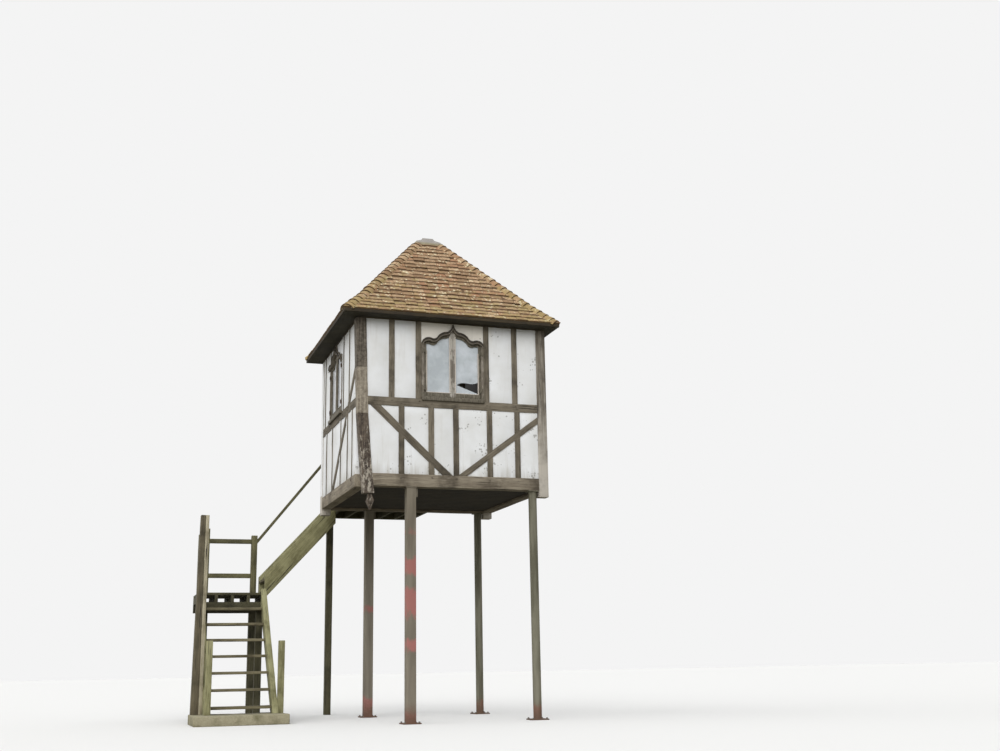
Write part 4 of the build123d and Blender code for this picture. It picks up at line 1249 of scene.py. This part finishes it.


# The last two numbers: where the painted shade under the next course's tail begins and where it is full.
clay_tile = clay("hand-made clay tile", 0.0, 0.066, 0.082)
clay_bonnet = clay("clay bonnet tile with moss", 0.07, 0.112, 0.135)
tile_tilt = math.atan2(2 * tile_thickness, tile_length)
for number, side in enumerate(("front", "right", "back", "left")):
    chance = random.Random(70 + number)
    half_along = eave_halves(side)[0]
    places = []
    under = []
    for course in range(courses):
        distance = course * gauge
        run, rise = slope_point(distance)
        reach = half_along - run + tile_width
        count = int(2 * reach / tile_width) + 2
        first = -(count / 2) * tile_width + (tile_width / 2 if course % 2 else 0.0)
        for i in range(count + 1):
            along = first + i * tile_width
            if abs(along) > reach:
                continue
            tail = distance - 0.012 + chance.uniform(-0.008, 0.008)
            lift = tail_lift + chance.uniform(-0.002, 0.008)
            tilt = tile_tilt + chance.uniform(-0.008, 0.010)
            twist = Matrix.Rotation(chance.uniform(-0.022, 0.022), 4, "Z") @ Matrix.Rotation(
                chance.uniform(-0.020, 0.020), 4, "Y")
            places.append(slope_frame(side, along, max(tail, 0.0), lift, tilt) @ twist)
            if course == 0:
                under.append(slope_frame(side, along + tile_width / 2, 0.0, lift - 0.012, tile_tilt * 0.6))
    covering = copies(plain_tile(tile_length), places, side + "_roof_tiles")
    eaves_course = copies(plain_tile(0.175), under, side + "_eaves_course")
    covering = join([covering, eaves_course], side + "_roof_tiles")
    lay_grain(covering, 80 + number)
    cut_to_hips(covering, side)
    only(covering)
    bpy.ops.object.shade_smooth_by_angle(angle=math.radians(35))
    hand_in(covering, clay_tile, "clay_tiles", side + "_roof_slope")

# Battens under the tiles: sawn laths, one to a course, nailed across the rafters.
batten_width = 0.032
batten_thick = 0.017
batten_drop = 0.0315
for side in WALL_TURN:
    half_along = eave_halves(side)[0]
    laths = []
    for course in range(1, courses):
        distance = course * gauge + 0.12
        if distance > foot_length + main_length - 0.05:
            continue
        run, rise = slope_point(distance)
        lath = bar((2 * (half_along - run) + 0.1, batten_width, batten_thick))
        lath.data.transform(slope_frame(side, 0.0, distance, -batten_drop, 0.0))
        laths.append(lath)
    battens = join(laths, side + "_battens")
    cut_to_hips(battens, side)
    lay_grain(battens, 90)
    # The battens take the same pine, near black partly as painted shade.
    hand_in(battens, pine_with_painted_shade, "dark_softwood")

# Hips: clay bonnet tiles, one to each course, tapered hoods bedded in lime mortar on the tiles of
# both slopes, so that their tails step down the hip in scallops.
bonnet_tail = 0.110
bonnet_head = 0.087
bonnet_length = 0.205
bonnet_sink = 0.094
bonnet_low = 0.020
first_shift = 0.045
last_share = 0.48


def bonnet_tile():
    """A bonnet, tail at the origin, running up along y: the upper half of a cone, given thickness."""
    bpy.ops.object.select_all(action="DESELECT")
    bpy.ops.mesh.primitive_cone_add(
        vertices=28, radius1=bonnet_tail, radius2=bonnet_head, depth=bonnet_length, end_fill_type="NOTHING",
        location=(0, bonnet_length / 2, 0), rotation=(math.radians(-90), 0, 0)
    )
    tile = bpy.context.object
    settle(tile)
    cut(tile, [((0, 0, bonnet_low), (0, 0, 1))], clear_inner=True)
    return fire(tile, 0.013, 0.003, 2)


def mortar_bed():
    """The mortar that fills the hollow of a bonnet's tail, set back a finger from the edge."""
    bpy.ops.object.select_all(action="DESELECT")
    bpy.ops.mesh.primitive_cone_add(
        vertices=28, radius1=bonnet_tail - 0.013, radius2=bonnet_head - 0.012, depth=bonnet_length * 0.6,
        end_fill_type="NGON", location=(0, bonnet_length * 0.3 + 0.014, 0), rotation=(math.radians(-90), 0, 0)
    )
    bed = bpy.context.object
    settle(bed)
    cut(bed, [((0, 0, bonnet_low + 0.004), (0, 0, 1))], use_fill=True, clear_inner=True)
    return bed


mortar, tree, shader = start_finish("lime mortar", 0.93)
place = object_point(tree)
sand = noise(tree, place, 90.0, 6.0, 0.7)
shade = blend(tree, sand, "#7c7260", "#aaa08b")
relief = bump(tree, sand, 0.8, 0.004)
dress(shader, shade, relief)

crown_x = eave_half_x - foot_run - main_run
crown_y = eave_half_y - foot_run - main_run
chance = random.Random(100)
places = []
for sx in (-1, 1):
    for sy in (-1, 1):
        centre = Vector((roof_middle.x, roof_middle.y, 0))
        eave = centre + Vector((sx * eave_half_x, sy * eave_half_y, eave_top))
        bend = centre + Vector((
            sx * (eave_half_x - foot_run), sy * (eave_half_y - foot_run), eave_top + foot_rise
        ))
        crown = centre + Vector((sx * crown_x, sy * crown_y, eave_top + foot_rise + main_rise))
        foot_share = foot_length / gauge
        for course in range(courses):
            if course < foot_share:
                low, high, share = eave, bend, course / foot_share
            else:
                low, high, share = bend, crown, (course - foot_share) / (courses - foot_share)
            spot = low.lerp(high, share)
            if course == 0:
                spot += (high - low).normalized() * first_shift
            up_hip = (high - low).normalized()
            across = up_hip.cross(Vector((0, 0, 1))).normalized()
            out = across.cross(up_hip).normalized()
            place = Matrix.Identity(4)
            place.col[0] = (*across, 0)
            place.col[1] = (*up_hip, 0)
            place.col[2] = (*out, 0)
            jitter = Vector([chance.uniform(-0.003, 0.003) for _ in range(3)])
            place.col[3] = (*(spot - out * bonnet_sink + jitter), 1)
            tip = Matrix.Rotation(-0.02 + chance.uniform(-0.012, 0.012), 4, "X")
            shortened = Matrix.Diagonal((1, last_share if course == courses - 1 else 1, 1, 1))
            twist = Matrix.Rotation(chance.uniform(-0.02, 0.02), 4, "Z")
            places.append(place @ tip @ twist @ shortened)
bonnets = copies(bonnet_tile(), places, "bonnet_tiles")
lay_grain(bonnets, 101)
only(bonnets)
bpy.ops.object.shade_smooth_by_angle(angle=math.radians(35))
hand_in(bonnets, clay_bonnet, "clay_tiles", "hip_tiles")
beds = copies(mortar_bed(), places, "hip_mortar")
hand_in(beds, mortar, "lime_render")

# Lead cap: one sheet of code 5 lead dressed over the cut-off top and beaten round a square knob.
# Dull grey with a pale bloom and soft beaten dents.
finish, tree, shader = start_finish("dressed sheet lead", 0.62, metallic=0.35)
place = object_point(tree)
beaten = noise(tree, place, 16.0, 3.0)
bloom = noise(tree, place, 9.0, 6.0, 0.6)
patina = blend(tree, bloom, "#7e7a76", "#b0aaa3")
cap_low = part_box("lead_cap")[0]
height = coordinate(tree, place, 2)
skirt = remap(tree, height, cap_low.z + 0.075, cap_low.z + 0.035, 0.0, 0.9)
green = blend(tree, bloom, "#6f6547", "#9a9071")
mossed = blend(tree, skirt, patina, green)
relief = bump(tree, beaten, 0.5, 0.012)
dress(shader, mossed, relief)
hand_in(shaped("lead_cap", 0.05, 0.012, 0.008, 3, 25), finish, "sheet_lead", "lead_cap")

# Stair: two softwood strings with housed treads, posts bolted beside them, a landing and a
# platform on posts. The strings and short posts are pressure-treated timber that has gone pale
# green with algae, the landing is olive timber darkened as painted shade of the tree's limb above
# it, and the tall post is brown oak.
algae_timber = weathered_timber("treated string with algae", "#98956f", "#827e5a", "#575331", "#a5a27e")
tread_timber = weathered_timber("worn tread timber", "#7d755b", "#605940", "#3f3826", "#8d8f60")
# Landing joists, posts and deck: olive timber darkened as painted shade of the limb above.
landing_timber_painted_shade = weathered_timber("landing timber with painted shade", "#5b5740", "#423e28", "#272410", "#4c4a30")
rail_timber = weathered_timber("olive guard rail timber", "#716c4b", "#585438", "#38351f", "#6a6845")
stair_pieces = {
    "short_stair_posts": (algae_timber, 112), "stair_strings": (algae_timber, 113),
    "lower_stair_treads": (tread_timber, 114), "upper_stair_treads": (tread_timber, 115),
    "landing_posts": (landing_timber_painted_shade, 116), "landing_joists": (landing_timber_painted_shade, 117),
    "newel_posts": (rail_timber, 118), "guard_rails": (rail_timber, 119),
}
for node, (timber_finish, seed) in stair_pieces.items():
    hand_in(timber(node, seed, 0.004, 0.005, 0.2), timber_finish, "stair_timber", node)
hand_in(boards_from("landing_decks", "landing_deck_boards", True, 0.125, 0.008, 120), landing_timber_painted_shade,
        "stair_timber", "landing_decks")

# Tall post at the stair's foot: a brown oak post of 100 mm with a pale plank of 50 mm nailed up
# its right side, where the string is fixed.
tall_oak = weathered_timber("brown stair post", "#6c634d", "#534b39", "#353020", "#6f6b50")
pale_plank = weathered_timber("bleached plank", "#b0a890", "#958c73", "#685f48", "#aeb08c")
tall_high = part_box("tall_stair_post")[1]
seam = tall_high.x - 0.050
seam_half = 0.0015
both_timbers = []
for part_name, edge, keep_left in (
    ("tall_post_oak", seam - seam_half, True), ("tall_post_plank", seam + seam_half, False)
):
    length = copy_of("tall_stair_post", part_name)
    cut(length, [((edge, 0, 0), (1, 0, 0))], use_fill=True, clear_outer=keep_left, clear_inner=not keep_left)
    slice_along(length, 0.2)
    lay_grain(length, 111 + len(both_timbers))
    waver(length, 0.005)
    ease_edges(length, 0.004, 2, 40)
    both_timbers.append(length)
hand_in(both_timbers[0], tall_oak, "stair_timber", "tall_stair_post")
hand_in(both_timbers[1], pale_plank, "stair_timber")

# Foot slab of the stair: concrete cast in rough boards, brown with soil and worn at its edges.
finish, tree, shader = start_finish("cast concrete", 0.92)
place = object_point(tree)
stones = add(tree, "ShaderNodeTexVoronoi", {"Vector": place, "Scale": 55.0}).outputs["Distance"]
soil = noise(tree, place, 4.0, 8.0, 0.65)
cement = blend(tree, stones, "#8f8870", "#a19a80")
soiled = remap(tree, soil, 0.45, 0.68)
ground_in = blend(tree, soiled, cement, "#6f6a4e")
rough_face = maths(tree, "ADD", soil, stones)
relief = bump(tree, rough_face, 0.6, 0.006)
dress(shader, ground_in, relief)
hand_in(shaped("stair_foot_slab", 0.08, 0.010, 0.010, 3, 40), finish, "concrete", "stair_foot_slab")

# Camera, floor and light. The camera stands where the photograph was taken, 17 m in front of the
# cabin and a little to its left, at 0.7 m above the ground and tilted up.
camera_place = Vector((cabin.x - 4.6017, cabin.y - 16.6194, 0.7102))
camera_yaw = math.radians(19.005)
camera_pitch = math.radians(13.684)
camera_roll = math.radians(-1.0395)
forward = Vector((
    math.sin(camera_yaw) * math.cos(camera_pitch), math.cos(camera_yaw) * math.cos(camera_pitch),
    math.sin(camera_pitch)
))
level = Vector((math.cos(camera_yaw), -math.sin(camera_yaw), 0))
top = level.cross(forward)
right = level * math.cos(camera_roll) + top * math.sin(camera_roll)
above = top * math.cos(camera_roll) - level * math.sin(camera_roll)
lens = bpy.data.cameras.new("camera")
lens.lens = 42.84
lens.sensor_width = 36.0
lens.clip_end = 200
camera = new_object("camera", lens)
stand = Matrix.Identity(4)
stand.col[0] = (*right, 0)
stand.col[1] = (*above, 0)
stand.col[2] = (*(-forward), 0)
stand.col[3] = (*camera_place, 1)
camera.matrix_world = stand
bpy.context.scene.camera = camera

bpy.ops.object.select_all(action="DESELECT")
bpy.ops.mesh.primitive_plane_add(size=240, location=(0, 0, 0))
ground = bpy.context.object
ground.name = "floor"
pale, tree, shader = start_finish("pale floor", 0.9)
seen = add(tree, "ShaderNodeLightPath").outputs["Is Camera Ray"]
pale_colour = blend(tree, seen, "#7c796c", "#e4e3e0")
dress(shader, pale_colour)
ground.data.materials.append(pale)
ground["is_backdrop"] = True

world = bpy.data.worlds.new("overcast sky")
bpy.context.scene.world = world
world.use_nodes = True
tree = world.node_tree
tree.nodes.clear()
rays = add(tree, "ShaderNodeLightPath").outputs
seen = maths(tree, "MAXIMUM", rays["Is Camera Ray"], rays["Is Glossy Ray"])
through = maths(tree, "MAXIMUM", seen, rays["Is Transmission Ray"])
light = add(tree, "ShaderNodeBackground", {"Color": linear("#f1f3f6"), "Strength": 0.80}).outputs[0]
shown = add(tree, "ShaderNodeBackground", {"Color": linear("#f4f4f4"), "Strength": 1.0}).outputs[0]
either = add(tree, "ShaderNodeMixShader", {0: through, 1: light, 2: shown}).outputs[0]
add(tree, "ShaderNodeOutputWorld", {0: either})

for name, energy, spread, tilt, turn in (
    ("soft sun", 1.55, 45.0, 60.0, -14.0),
    ("sky fill", 1.85, 90.0, 70.0, -84.0),
):
    lamp = bpy.data.lights.new(name, "SUN")
    lamp.energy = energy
    lamp.angle = math.radians(spread)
    new_object(name, lamp).rotation_euler = (math.radians(tilt), 0, math.radians(turn))
lamp = bpy.data.lights.new("daylight inside the room", "POINT")
lamp.energy = 6.0
lamp.shadow_soft_size = 0.4
new_object("daylight inside the room", lamp).location = (cabin.x, cabin.y, 4.4)
bpy.context.scene.view_settings.view_transform = "Standard"

low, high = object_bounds()
